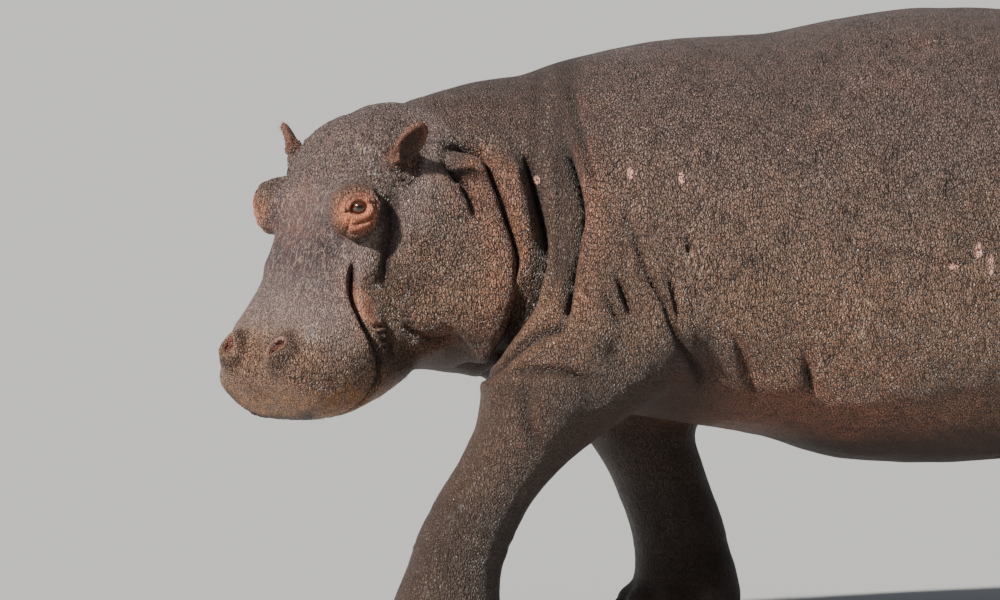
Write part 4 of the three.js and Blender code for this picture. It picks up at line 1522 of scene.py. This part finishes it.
class Graph:
    """A material, built node by node."""

    def __init__(self, name: str) -> None:
        """Starts a material whose patterns lie in object coordinates."""
        self.material = bpy.data.materials.new(name)
        self.material.use_nodes = True
        self.tree = self.material.node_tree
        self.tree.nodes.clear()
        self.place = self.add("TexCoord", {}, {}, "Object")

    def add(self, kind: str, settings: dict, inputs: dict, output: int | str = 0) -> Socket:
        """Adds a node.

        Args:
            kind: its type, without "ShaderNode".
            settings: its properties, set first.
            inputs: values or sockets for its inputs, by name or number.
            output: the output that is returned.
        """
        node = self.tree.nodes.new("ShaderNode" + kind)
        for name, value in settings.items():
            setattr(node, name, value)
        for key, value in inputs.items():
            if isinstance(value, Socket):
                self.tree.links.new(value.output, node.inputs[key])
            else:
                node.inputs[key].default_value = value
        return Socket(self, node.outputs[output])

    def share(self, name: str) -> Socket:
        """A value stored on the mesh."""
        return self.add("Attribute", {"attribute_name": name}, {}, "Fac")

    def mix(self, factor: Socket | float, a: Socket | Colour, b: Socket | Colour) -> Socket:
        """The colour between a, at 0, and b, at 1."""
        return self.add("Mix", {"data_type": "RGBA"}, {0: factor, 6: a, 7: b}, 2)

    def shade(self, factor: Socket, colour: Socket, by: Colour) -> Socket:
        """A colour multiplied by another, as far as the factor says."""
        settings = {"data_type": "RGBA", "blend_type": "MULTIPLY"}
        return self.add("Mix", settings, {0: factor, 6: colour, 7: by}, 2)

    def scaled(self, vector: Socket, by: Triple) -> Socket:
        """A vector with each part multiplied."""
        return self.add("VectorMath", {"operation": "MULTIPLY"}, {0: vector, 1: by})

    def turned(self, degrees: Triple, by: tuple) -> Socket:
        """The place turned, then multiplied, for patterns that run aslant."""
        turn = tuple(float(np.radians(angle)) for angle in degrees)
        return self.add("Mapping", {}, {"Vector": self.place, "Rotation": turn, "Scale": by})

    def noise(self, vector: Socket, detail: float = 2, rough: float = 0.5) -> Socket:
        """Noise with features about one unit across, mostly from 0.3 to 0.7."""
        inputs = {"Vector": vector, "Scale": 1.0, "Detail": detail, "Roughness": rough}
        return self.add("TexNoise", {}, inputs, "Fac")

    def noise_on(self, vector: Socket, by: Triple, detail: float = 2, rough: float = 0.5) -> Socket:
        """Noise on a scaled vector."""
        return self.noise(self.scaled(vector, by), detail, rough)

    def warped(self, vector: Socket, size: float, by: float) -> Socket:
        """A vector pushed about by noise, so that patterns on it look grown."""
        inputs = {"Vector": vector, "Scale": 1 / size, "Detail": 1.0}
        push = self.add("TexNoise", {}, inputs, "Color")
        push = self.add("VectorMath", {"operation": "SUBTRACT"}, {0: push, 1: (0.5,) * 3})
        push = self.scaled(push, (by,) * 3)
        return self.add("VectorMath", {"operation": "ADD"}, {0: vector, 1: push})

    def cells(self, vector: Socket) -> Socket:
        """Distance from the edges of irregular cells about one unit across."""
        settings = {"feature": "DISTANCE_TO_EDGE"}
        return self.add("TexVoronoi", settings, {"Vector": vector, "Scale": 1.0}, "Distance")

    def dots(self, vector: Socket) -> Socket:
        """Distance from the middles of irregular cells about one unit across."""
        return self.add("TexVoronoi", {}, {"Vector": vector, "Scale": 1.0}, "Distance")

    def lines(self, vector: Socket, width: float) -> Socket:
        """Thin winding lines: where noise crosses its middle value."""
        return abs(self.noise(vector, 1.5, 0.4) - 0.5).step(width, 0)

    def finish(self, height: Socket | None, inputs: dict) -> Material:
        """Ends with a Principled shader, bumped by a height in metres."""
        if height is not None:
            inputs = dict(inputs)
            bump = {"Strength": 1.0, "Distance": 1.0, "Height": height}
            inputs["Normal"] = self.add("Bump", {}, bump)
        shader = self.add("BsdfPrincipled", {}, inputs)
        self.add_output(shader)
        return self.material

    def add_output(self, shader: Socket) -> None:
        """Links a shader to the material's output."""
        output = self.tree.nodes.new("ShaderNodeOutputMaterial")
        self.tree.links.new(shader.output, output.inputs["Surface"])


@dataclass(frozen=True)
class HideFinish:
    """Thick brown hide, cracked all over, pink in its folds, soaked low down, with shade, shadow
    and sheen painted on.
    """

    back: Colour = paint(122, 103, 97)
    flank: Colour = paint(144, 113, 92)
    cool: Colour = paint(124, 107, 105)
    plum: Colour = paint(64, 49, 55)
    pink: Colour = paint(192, 130, 104)
    ring: Colour = paint(208, 124, 90)
    ear: Colour = paint(122, 78, 62)
    # the insides of the ears' cups, a painted shade
    cup: Colour = paint(64, 40, 34)
    mud: Colour = paint(176, 124, 84)
    fleck: Colour = paint(176, 144, 112)
    # the colour of wet skin, also used for painted shade and shadow
    wet_and_shade: Colour = paint(50, 38, 33)
    # painted shade in creases and folds, also the colour of the muzzle's dark pores
    groove: Colour = paint(78, 48, 40)
    # painted shade in the cracks and hollows of the hide's relief
    crack_shade: Colour = paint(84, 75, 70)
    scar: Colour = paint(236, 176, 160)
    nostril: Colour = paint(104, 34, 32)
    rim: Colour = paint(196, 150, 138)
    # pale scratches, also used for painted sheen on the head's top
    scratch_and_sheen: Colour = paint(190, 162, 142)
    scars: tuple[tuple[float, float, float, float], ...] = (
        (219, 1121, 7, 15),
        (334, 1111, 8, 16),
        (20, 1102, 5, 12),
        (975, 898, 15, 9),
        (1036, 934, 9, 20),
        (1066, 900, 8, 26),
    )  # X, Z and sizes, on the left flank

    def make(self, shift: Array) -> Material:
        """Builds the material. Heights are in metres."""
        graph = Graph("hide")
        place = graph.warped(graph.place, 0.05, 0.012)
        smooth = graph.share("smooth")
        coarse = 1 - smooth
        cool, mud = graph.share("cool"), graph.share("mud")
        # the relief, in metres: plates parted by cracks, folds in them, and broad unevenness
        plates = graph.cells(graph.scaled(place, (215, 215, 140))).step(0.0, 0.28)
        folded = graph.cells(graph.scaled(place, (150, 150, 48))).step(0.0, 0.2)
        streaks = graph.noise_on(place, (300, 300, 120), 2, 0.55)
        wide = graph.noise_on(place, (34, 34, 12), 3, 0.55)
        lines = graph.lines(graph.scaled(place, (46, 46, 11)), 0.045)
        broken = graph.noise_on(graph.place, (11, 11, 8), 1, 0.5).step(0.54, 0.68)
        lines = lines * broken * graph.share("cracked")
        cross = graph.lines(graph.turned((12, 34, 20), (34, 34, 9)), 0.018)
        slant = graph.lines(graph.turned((-8, -40, 10), (30, 30, 8)), 0.016)
        marks = cross.highest(slant) * graph.noise_on(place, (9, 9, 9), 1).step(0.50, 0.64)
        pores = graph.dots(graph.scaled(graph.warped(graph.place, 0.02, 0.01), (80, 80, 80)))
        pores = pores.step(0.26, 0.10) * mud
        grain = graph.noise_on(graph.place, (620, 620, 420), 1, 0.5)
        height = plates * 0.0024 + folded * 0.0022 + streaks * 0.0006 + wide * 0.0100
        height = height * (coarse * 0.85 + 0.15) - (marks * 0.0020 + lines * 0.0034) * coarse
        height = height - pores * 0.0030 + grain * 0.0003
        # fine scratches on the head's top, pale partly as painted sheen
        scratches_and_sheen = graph.lines(graph.turned((20, 8, 62), (60, 60, 12)), 0.02).highest(
            graph.lines(graph.turned((-24, 18, -30), (60, 60, 12)), 0.02)
        ) * cool
        # the colours
        blot = graph.noise_on(graph.place, (5, 5, 5), 3, 0.6)
        fine_blot = graph.noise_on(graph.place, (34, 34, 34), 3, 0.6)
        colour = graph.mix(graph.share("warm"), self.back, self.flank)
        mottled = (fine_blot - 0.5) * 1.4
        pink = (graph.share("pink") + graph.share("pink") * mottled).step(0.0, 1.0)
        for layer, paint_over in (
            (cool * 0.9, self.cool),
            (graph.share("plum") * 0.92, self.plum),
            (pink, self.pink),
            ((graph.share("ring") + mottled * 0.3) * 0.85, self.ring),
            (graph.share("ear") * 0.85, self.ear),
            (mud * fine_blot.step(0.3, 0.6), self.mud),
            (mud * streaks.step(0.56, 0.66) * 0.25, self.fleck),
        ):
            colour = graph.mix(layer, colour, paint_over)
        colour = graph.shade(blot.step(0.62, 0.36) * 0.25, colour, (0.78, 0.76, 0.75, 1))
        colour = graph.mix(blot.step(0.55, 0.72) * 0.12, colour, self.pink)
        # painted shade in the cracks between plates and folds, in the hollows of the broad
        # unevenness and along the crack lines
        cavity_shade = (1 - plates) * 0.6 + (1 - folded) * 0.58
        colour = graph.shade(cavity_shade * (coarse * 0.8 + 0.2), colour, self.crack_shade)
        colour = graph.shade(wide.step(0.5, 0.36) * 0.25, colour, self.crack_shade)
        colour = graph.shade(lines * coarse * 0.7, colour, self.crack_shade)
        # scratches on the head's top, partly a painted sheen
        colour = graph.mix(scratches_and_sheen * 0.3, colour, self.scratch_and_sheen)
        pale = graph.lines(graph.turned((0, 62, 0), (18, 18, 5)), 0.006)
        pale = pale * graph.noise_on(place, (6, 6, 6), 1).step(0.55, 0.66)
        colour = graph.mix(pale * coarse * 0.5, colour, self.scratch_and_sheen)
        # dark pores on the muzzle, then painted shade in creases, folds and along the lids
        colour = graph.shade(pores * 0.8, colour, self.groove)
        colour = graph.shade(graph.share("groove"), colour, self.groove)
        # the insides of the ears' cups painted dark, as shade in the hollows
        colour = graph.mix(graph.share("cup") * 0.85, colour, self.cup)
        colour = graph.mix(graph.share("nostril"), colour, self.nostril)
        colour = graph.mix(graph.share("rim") * mottled.step(-0.3, 0.4) * 0.6, colour, self.rim)
        # wet skin, and painted shade and shadow
        colour = graph.mix(graph.share("wet_and_shade") * 0.85, colour, self.wet_and_shade)
        scars = self._scars(graph, shift)
        colour = graph.mix(scars * 0.85, colour, self.scar)
        gloss = graph.share("gloss")
        dull = graph.share("plum") * 0.25 + graph.share("wet_and_shade") * 0.12 + mud * 0.06
        rough = 0.42 - gloss * 0.06 + (streaks - 0.5) * 0.35 + dull
        shine = gloss * fine_blot.step(0.35, 0.75) * streaks.step(0.40, 0.62) * 0.2
        inputs = {
            "Base Color": colour,
            "Roughness": rough,
            "Coat Weight": shine * (1 - graph.share("plum")),
            "Coat Roughness": 0.28,
            "Specular IOR Level": 0.5,
        }
        return graph.finish(height - scars * 0.0015, inputs)

    def _scars(self, graph: Graph, shift: Array) -> Socket:
        """Small pale scars at their places on the left side."""
        x, y, z = self._parts(graph)
        left = y.step(float(0.05 - shift[1] * MM), float(-0.05 - shift[1] * MM))
        worn = graph.noise_on(graph.place, (210, 210, 140), 2).step(0.40, 0.52)
        found = None
        for at_x, at_z, wide, high in self.scars:
            across = (x - float((at_x - shift[0]) * MM)) * (1 / (wide * MM))
            up = (z - float((at_z - shift[2]) * MM)) * (1 / (high * MM))
            scar = (across * across + up * up).step(1.2, 0.4)
            found = scar if found is None else found.highest(scar)
        return found * left * worn

    @staticmethod
    def _parts(graph: Graph) -> list[Socket]:
        """The place's x, y and z."""
        node = graph.add("SeparateXYZ", {}, {0: graph.place})
        outputs = node.output.node.outputs
        return [Socket(graph, output) for output in outputs]


@dataclass(frozen=True)
class EyeFinish:
    """A glistening dark eye: a brown iris round a wide black pupil."""

    pupil: Colour = paint(8, 6, 6)
    iris: Colour = paint(78, 42, 22)
    rim: Colour = paint(34, 18, 12)
    white: Colour = paint(92, 62, 50)

    def make(self) -> Material:
        """Builds the material on the eyeball's own attributes."""
        graph = Graph("eye")
        pupil, iris = graph.share("pupil"), graph.share("iris")
        spokes = graph.noise_on(graph.place, (700, 700, 700), 3, 0.6)
        colour = graph.mix(iris.step(0.9, 1.12), self.iris, self.white)
        colour = graph.shade(spokes.step(0.6, 0.35) * 0.7, colour, (0.35, 0.3, 0.25, 1))
        colour = graph.mix(abs(iris - 0.98).step(0.16, 0.04) * 0.9, colour, self.rim)
        colour = graph.mix(pupil.step(1.15, 0.92), colour, self.pupil)
        inputs = {
            "Base Color": colour,
            "Roughness": 0.12,
            "Coat Weight": 1.0,
            "Coat Roughness": 0.02,
        }
        return graph.finish(None, inputs)


@dataclass(frozen=True)
class HornFinish:
    """Dull dark horn, in fine layers and fibres."""

    dark: Colour = paint(62, 52, 46)
    pale: Colour = paint(124, 106, 88)

    def make(self) -> Material:
        """Builds the material."""
        graph = Graph("nail_horn")
        layers = graph.noise_on(graph.place, (60, 60, 420), 3, 0.6)
        fibres = graph.noise_on(graph.place, (380, 380, 50), 2, 0.5)
        colour = graph.mix(layers.step(0.4, 0.66) * 0.8, self.dark, self.pale)
        colour = graph.shade(fibres.step(0.5, 0.36), colour, (0.6, 0.56, 0.52, 1))
        rough = 0.42 + fibres * 0.3
        height = layers * 0.0007 + fibres * 0.0004
        return graph.finish(height, {"Base Color": colour, "Roughness": rough})


@dataclass(frozen=True)
class HairFinish:
    """Stiff hairs, darker at the root."""

    name: str = "bristles"
    root: Colour = paint(58, 40, 32)
    tip: Colour = paint(134, 104, 80)

    def make(self) -> Material:
        """Builds the material on the hairs' own attribute, which runs from root to tip."""
        graph = Graph(self.name)
        colour = graph.mix(graph.share("along"), self.root, self.tip)
        return graph.finish(None, {"Base Color": colour, "Roughness": 0.45})


# ---- pieces


def mesh_object(
    name: str,
    points: Array,
    faces: Array,
    finish: Material,
    shares: dict[str, Array] | None = None,
) -> Piece:
    """A smooth-shaded mesh object at the origin.

    Args:
        name: the piece's name.
        points: its points, in metres in the part's frame.
        faces: the points of each face.
        finish: its material.
        shares: values stored on its points, which the material reads.
    """
    mesh = bpy.data.meshes.new(name)
    mesh.from_pydata(points.tolist(), [], faces.tolist())
    mesh.shade_smooth()
    mesh.update()
    for title, values in (shares or {}).items():
        attribute = mesh.attributes.new(title, "FLOAT", "POINT")
        attribute.data.foreach_set("value", values.astype(np.float32))
    mesh.materials.append(finish)
    piece = bpy.data.objects.new(name, mesh)
    bpy.context.scene.collection.objects.link(piece)
    return piece


def grid_faces(rows: int, columns: int) -> Array:
    """Triangles of a grid that closes round its columns, rows running from pole to pole."""
    row, column = np.mgrid[: rows - 1, :columns]
    beside = (column + 1) % columns
    a, b = row * columns + column, row * columns + beside
    c, d = a + columns, b + columns
    return np.concatenate([np.stack([a, b, d], -1), np.stack([a, d, c], -1)]).reshape(-1, 3)


def merge_poles(points: Array, faces: Array) -> tuple[Array, Array]:
    """Joins points that lie at the same place, and drops faces that have no area left."""
    rounded = np.round(points, 6)
    _, first, place = np.unique(rounded, axis=0, return_index=True, return_inverse=True)
    faces = place.reshape(-1)[faces]
    a, b, c = faces.T
    return points[first], faces[(a != b) & (b != c) & (c != a)]


def globe(rings: int, spokes: int) -> tuple[Array, Array]:
    """Angles of a grid round a globe: from its pole, and round its axis."""
    around = np.linspace(0, 2 * np.pi, spokes, endpoint=False)
    return np.meshgrid(np.linspace(0, np.pi, rings), around, indexing="ij")


def signed_power(value: Array, power: float) -> Array:
    """A power of a number's size, with the number's sign."""
    return np.sign(value) * np.abs(value) ** power


@dataclass(frozen=True)
class Eyeball:
    """One eyeball with its cornea standing slightly proud."""

    head: Head
    side: int  # 1 on the animal's left, -1 on its right
    cornea: float = 1.6
    pupil: tuple[float, float] = (8.5, 5.0)
    iris: tuple[float, float] = (16.5, 13.5)
    rings: int = 40
    spokes: int = 64

    def build(self, shift: Array, finish: Material) -> Piece:
        """Makes the eyeball.

        With a the angle from the gaze and b the angle round it, the radius is r + bulge, where
        the bulge is cornea * exp(-(a / 0.42) ** 4).
        """
        eye = self.head.eye
        a, b = globe(self.rings, self.spokes)
        radius = eye.radius - 1.4 + self.cornea * np.exp(-((a / 0.42) ** 4))
        local = np.stack([np.sin(a) * np.cos(b), np.sin(a) * np.sin(b), np.cos(a)], -1)
        points = (radius[..., None] * local).reshape(-1, 3)
        points, faces = merge_poles(points, grid_faces(self.rings, self.spokes))
        long, high, out = points.T
        front = np.where(out > 0, 0.0, 9.0)
        shares = {
            "pupil": np.hypot(long / self.pupil[0], high / self.pupil[1]) + front,
            "iris": np.hypot(long / self.iris[0], high / self.iris[1]) + front,
        }
        place = (points @ eye.axes + eye.at) * (1, self.side, 1)
        faces = outward(place, faces)
        name = "eyeball_left" if self.side > 0 else "eyeball_right"
        piece = mesh_object(
            name, to_frame(self.head.to_body(place), shift), faces, finish, shares
        )
        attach(piece, "root")
        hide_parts("eye_left" if self.side > 0 else "eye_right")
        return piece


def outward(points: Array, faces: Array) -> Array:
    """The faces of a closed, rounded form, turned to face away from its middle if need be."""
    a, b, c = (points[faces[:, k]] for k in range(3))
    away = (np.cross(b - a, c - a) * (a - points.mean(0))).sum(1)
    return faces if away.sum() > 0 else faces[:, ::-1]


@dataclass(frozen=True)
class Nails:
    """The four broad nails of one foot."""

    leg: Leg
    reach: float = 1.12
    height: float = 33
    size: Triple = (20, 30, 30)
    power: float = 0.8  # less is boxier
    rings: int = 22
    spokes: int = 36

    def build(self, shift: Array, finish: Material) -> Piece:
        """Makes the nails.

        Each is a superellipsoid: a is the angle from its top, b the angle round it, and each
        sine and cosine is raised to a power. Its top leans back, its lower edge is drawn
        forward, and shallow ripples cross its front.
        """
        a, b = globe(self.rings, self.spokes)
        sin_a, cos_a, sin_b, cos_b = (
            signed_power(part, self.power) for part in (np.sin(a), np.cos(a), np.sin(b), np.cos(b))
        )
        local = np.stack([sin_a * cos_b, sin_a * sin_b, cos_a], -1).reshape(-1, 3) * self.size
        x, y, z = local.T
        ripple = 0.5 * np.sin(z / 3.1) * ramp(0, -14, x)
        x = x * (1 - 0.25 * ramp(0, 30, z)) + 0.34 * z - ripple
        z = np.where(z < -24, -24 - 0.3 * (-24 - z), z)
        local, faces = merge_poles(np.stack([x, y, z], 1), grid_faces(self.rings, self.spokes))
        faces = outward(local, faces)
        points, all_faces = [], []
        for angle in self.leg.toe_angles:
            place = turn_about_z(local, -angle) + self.leg.rim(angle, self.reach, self.height)
            all_faces.append(faces + len(local) * len(points))
            points.append(place)
        piece = mesh_object(
            f"nails_{self.leg.name}",
            to_frame(np.concatenate(points), shift),
            np.concatenate(all_faces),
            finish,
        )
        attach(piece, "root")
        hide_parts(*(f"nail_{self.leg.name}_{n + 1}" for n in range(4)))
        return piece


class Growth(Enum):
    """Where hairs grow."""

    MUZZLE = "face_bristles"
    EARS = "ear_fringe"
    TAIL = "tail_tuft"


@dataclass(frozen=True)
class Coat:
    """Hairs of one kind, each a thin three-sided cone that bends as it goes.

    A hair's middle line is root + length * (t * way + t ** 2 * bend), with t from 0 to 1, and
    its radius is thick * (1 - 0.85 t).
    """

    growth: Growth
    count: int
    length: tuple[float, float]
    thick: float
    seed: int
    per_tuft: int = 3
    rings: int = 4

    def build(
        self, head: Head, points: Array, triangles: Array, shift: Array,
        finish: Material,
    ) -> Piece:
        """Makes the hairs on the finished hide."""
        rng = np.random.default_rng(self.seed)
        normals = normals_of(points, triangles)
        weight, way, unwrap = self._field(head, points, normals)
        a, b, c = triangles.T
        corner_weight = (weight[a] + weight[b] + weight[c]) / 3
        area = np.linalg.norm(np.cross(points[b] - points[a], points[c] - points[a]), axis=1)
        chance = area * corner_weight
        chosen = rng.choice(len(triangles), self.count, p=chance / chance.sum())
        share = rng.dirichlet((1, 1, 1), self.count)
        root, normal, lie, uv = (
            (values[triangles[chosen]] * share[..., None]).sum(1)
            for values in (points, normals, way, unwrap)
        )
        normal = unit(normal)
        return self._grow(rng, root, normal, lie, uv, shift, finish)

    def _grow(
        self, rng: np.random.Generator, root: Array, normal: Array, lie: Array, uv: Array,
        shift: Array, finish: Material,
    ) -> Piece:
        """Joins all hairs into one mesh."""
        hairs = self.count * self.per_tuft
        tuft = np.repeat(np.arange(self.count), self.per_tuft)
        root, normal, lie = root[tuft], normal[tuft], lie[tuft]
        root = root + rng.normal(0, 1.2, (hairs, 3)) - 1.5 * normal
        way = unit(unit(lie) + 0.16 * rng.normal(size=(hairs, 3)))
        length = rng.uniform(*self.length, hairs)[:, None]
        bend = 0.22 * rng.normal(size=(hairs, 3)) + (0, 0, -0.18)
        side = unit(np.cross(way, rng.normal(size=(hairs, 3))))
        other = np.cross(way, side)
        t = np.linspace(0, 1, self.rings)
        turn = np.arange(3) * 2 * np.pi / 3
        middle = root[:, None] + length[:, None] * (
            t[:, None] * way[:, None] + t[:, None] ** 2 * bend[:, None]
        )
        radius = self.thick * (1 - 0.85 * t)
        ring = np.cos(turn)[:, None] * side[:, None] + np.sin(turn)[:, None] * other[:, None]
        points = middle[:, :, None] + radius[None, :, None, None] * ring[:, None]
        k, j = np.mgrid[: self.rings - 1, :3]
        near, beside = k * 3 + j, k * 3 + (j + 1) % 3
        sides = np.stack([near, beside, beside + 3, near + 3], -1).reshape(-1, 4)
        last = 3 * (self.rings - 1)
        quads = sides[None] + (np.arange(hairs) * 3 * self.rings)[:, None, None]
        triangles = np.concatenate([quads[..., :3], quads[..., [0, 2, 3]]], 1)
        caps = np.array([[0, 2, 1], [last, last + 1, last + 2]])
        caps = caps[None] + (np.arange(hairs) * 3 * self.rings)[:, None, None]
        faces = np.concatenate([triangles, caps], 1).reshape(-1, 3)
        flat = points.reshape(-1, 3)
        along = np.broadcast_to(t[None, :, None], (hairs, self.rings, 3)).reshape(-1)
        piece = mesh_object(
            self.growth.value, to_frame(flat, shift), faces, finish, {"along": along}
        )
        spot = np.stack(np.broadcast_arrays(t[:, None], turn[None] / 7), -1).reshape(-1, 2)
        patch = uv[tuft][:, None] + 0.003 * (spot - 0.5)
        layer = piece.data.uv_layers.new(name="OFBake")
        layer.data.foreach_set("uv", patch.reshape(-1, 2)[faces.reshape(-1)].reshape(-1))
        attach(piece, "root")
        return piece

    def _field(self, head: Head, points: Array, normals: Array) -> tuple[Array, Array, Array]:
        """How densely hairs grow, which way they point, and where their roots unwrap."""
        local = head.to_local(points)
        mirrored = head.mirror(local)
        around = np.arctan2(local[:, 1], local[:, 2] + 180) / (2 * np.pi) + 0.5
        if self.growth is Growth.MUZZLE:
            x, _, z = mirrored.T
            front = ramp(430, 520, x - 0.35 * z) * (head.loft.distance(local) < 40)
            lower = ramp(0, -60, z) * (1 - ramp(3, -3, head.in_nostril(mirrored)))
            forward = 0.45 * head.axes[0] + (0, 0, -0.25)
            unwrap = np.stack([around, np.clip((x + 200) / 900, 0.01, 0.99)], 1)
            return front * (0.25 + lower), unit(normals + forward), unwrap
        if self.growth is Growth.EARS:
            weight, way = np.zeros(len(points)), np.array(normals)
            for side, ear in head.ears:
                place = local * (1, side, 1)
                along, across, out = ear.to_local(place).T
                edge = np.abs(across) / np.maximum(ear.width(along), 1)
                rim = ramp(0.72, 0.95, edge) + ramp(118, 132, along)
                on = (along > 22) & (along < 160) & (np.abs(out) < 26) & (edge < 1.6)
                weight += rim * on * (place[:, 1] > 0)
                tip = (ear.axes[0] * (1, side, 1)) @ head.axes
                way = np.where((on & (place[:, 1] > 0))[:, None], normals + 0.9 * tip, way)
            unwrap = np.stack([around, np.clip((local[:, 2] + 500) / 900, 0.01, 0.99)], 1)
            return weight, unit(way), unwrap
        x, y, z = points.T
        on_tail = (x > 2150) & (np.abs(y) < 90) & (z < 880)
        edge = ramp(0.3, 0.8, np.abs(normals[:, 1])) + ramp(700, 660, z)
        weight = on_tail * edge * ramp(860, 720, z)
        turn = np.arctan2(y, x - 2190) / (2 * np.pi) + 0.5
        unwrap = np.stack([turn, np.clip(z / 1600, 0.01, 0.99)], 1)
        return weight, unit(normals * (0.8, 0.9, 0.3) + (0.1, 0, -1.2)), unwrap


def frame_shift(head: Head) -> Array:
    """Where the part's origin lies in the body's frame, read from the left eye's place."""
    low, high = (np.array(corner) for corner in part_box("eye_left"))
    eye = head.to_body(np.array([head.eye.at], float))[0]
    return eye - (low + high) / 2 / MM


@dataclass(frozen=True)
class Studio:
    """A pale floor, a soft key light, a fill from all round, and the camera."""

    azimuth: float = -15
    elevation: float = 3
    distance: float = 24.0
    view_width: float = 2.4
    aim: Triple = (0, 0, 804)
    floor_radius: float = 150.0
    sun_way: Triple = (0.74, 0.34, -0.58)
    sun_power: float = 9.0
    sun_softness: float = 4.0  # degrees across
    fill: float = 0.26

    def build(self, shift: Array) -> None:
        """Puts up the camera, the lights and the floor."""
        azimuth, elevation = np.radians(self.azimuth), np.radians(self.elevation)
        level = np.cos(elevation)
        back = Vector((np.sin(azimuth) * level, -np.cos(azimuth) * level, np.sin(elevation)))
        data = bpy.data.cameras.new("camera")
        data.lens = 36 * self.distance / self.view_width
        data.clip_end = 2 * self.floor_radius
        aim = Vector((np.array(self.aim) - shift) * MM)
        bpy.context.scene.camera = self._place("camera", data, aim + back * self.distance, -back)
        world = bpy.data.worlds.new("fill")
        bpy.context.scene.world = world
        world.use_nodes = True
        background = world.node_tree.nodes["Background"]
        background.inputs["Color"].default_value = (0.86, 0.91, 1.0, 1)
        background.inputs["Strength"].default_value = self.fill
        sun = bpy.data.lights.new("key", "SUN")
        sun.energy = self.sun_power
        sun.angle = np.radians(self.sun_softness)
        sun.color = (1.0, 0.95, 0.87)
        self._place("key", sun, Vector((0, 0, 8)), Vector(self.sun_way))
        self._floor()

    def _floor(self) -> None:
        """A wide pale disc under the feet."""
        turn = np.linspace(0, 2 * np.pi, 97)[:-1]
        rim = self.floor_radius * np.stack([np.cos(turn), np.sin(turn), 0 * turn], 1)
        near = np.arange(96) + 1
        faces = np.stack([0 * near, near, near % 96 + 1], 1)
        graph = Graph("studio_floor")
        worn = graph.noise_on(graph.place, (0.8, 0.8, 0.8), 3)
        colour = graph.mix(worn, (0.42, 0.43, 0.44, 1), (0.45, 0.46, 0.47, 1))
        finish = graph.finish(None, {"Base Color": colour, "Roughness": 0.75})
        floor = mesh_object("floor", np.concatenate([[[0, 0, 0]], rim]), faces, finish)

    @staticmethod
    def _place(name: str, data: bpy.types.ID, at: Vector, towards: Vector) -> Piece:
        """A lamp or camera at a place, looking along a direction."""
        thing = bpy.data.objects.new(name, data)
        bpy.context.scene.collection.objects.link(thing)
        thing.location = at
        thing.rotation_euler = towards.to_track_quat("-Z", "Y").to_euler()
        return thing


def main() -> None:
    """Builds the animal and its studio."""
    shape = HideShape()
    head = shape.head
    shift = frame_shift(head)
    relief = Relief(head)
    points, triangles = make_net(shape, relief, Net())
    LOG.info("net of %d points and %d triangles", len(points), len(triangles))
    points, dark, ridge = relief.apply(points, triangles)
    points[:, 2] = np.maximum(points[:, 2], 0.0)  # the soles stay flat on the floor
    shares = Markings(head).masks(points, triangles, dark, ridge)
    finish = HideFinish().make(shift)
    hide = mesh_object("hide", to_frame(points, shift), triangles, finish, shares)
    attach(hide, "root")
    flesh = [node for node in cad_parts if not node.startswith(("eye", "nail"))]
    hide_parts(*flesh)
    LOG.info("hide made, in place of %d solids", len(flesh))
    eye_finish = EyeFinish().make()
    for side in (1, -1):
        LOG.info("%s made", Eyeball(head, side).build(shift, eye_finish).name)
    horn = HornFinish().make()
    for leg in LEGS:
        LOG.info("%s made", Nails(leg).build(shift, horn).name)
    bristle, fringe = HairFinish().make(), HairFinish("fringe", tip=paint(120, 80, 56)).make()
    black = HairFinish("tail_hair", paint(26, 20, 18), paint(64, 48, 40)).make()
    for coat, hair in (
        (Coat(Growth.MUZZLE, 170, (4, 9), 0.5, seed=31), bristle),
        (Coat(Growth.EARS, 360, (4, 11), 0.35, seed=32), fringe),
        (Coat(Growth.TAIL, 260, (34, 105), 0.9, seed=33), black),
    ):
        LOG.info("%s made", coat.build(head, points, triangles, shift, hair).name)
    Studio().build(shift)


if __name__ == "__main__":
    logging.basicConfig(level=logging.INFO)
    main()
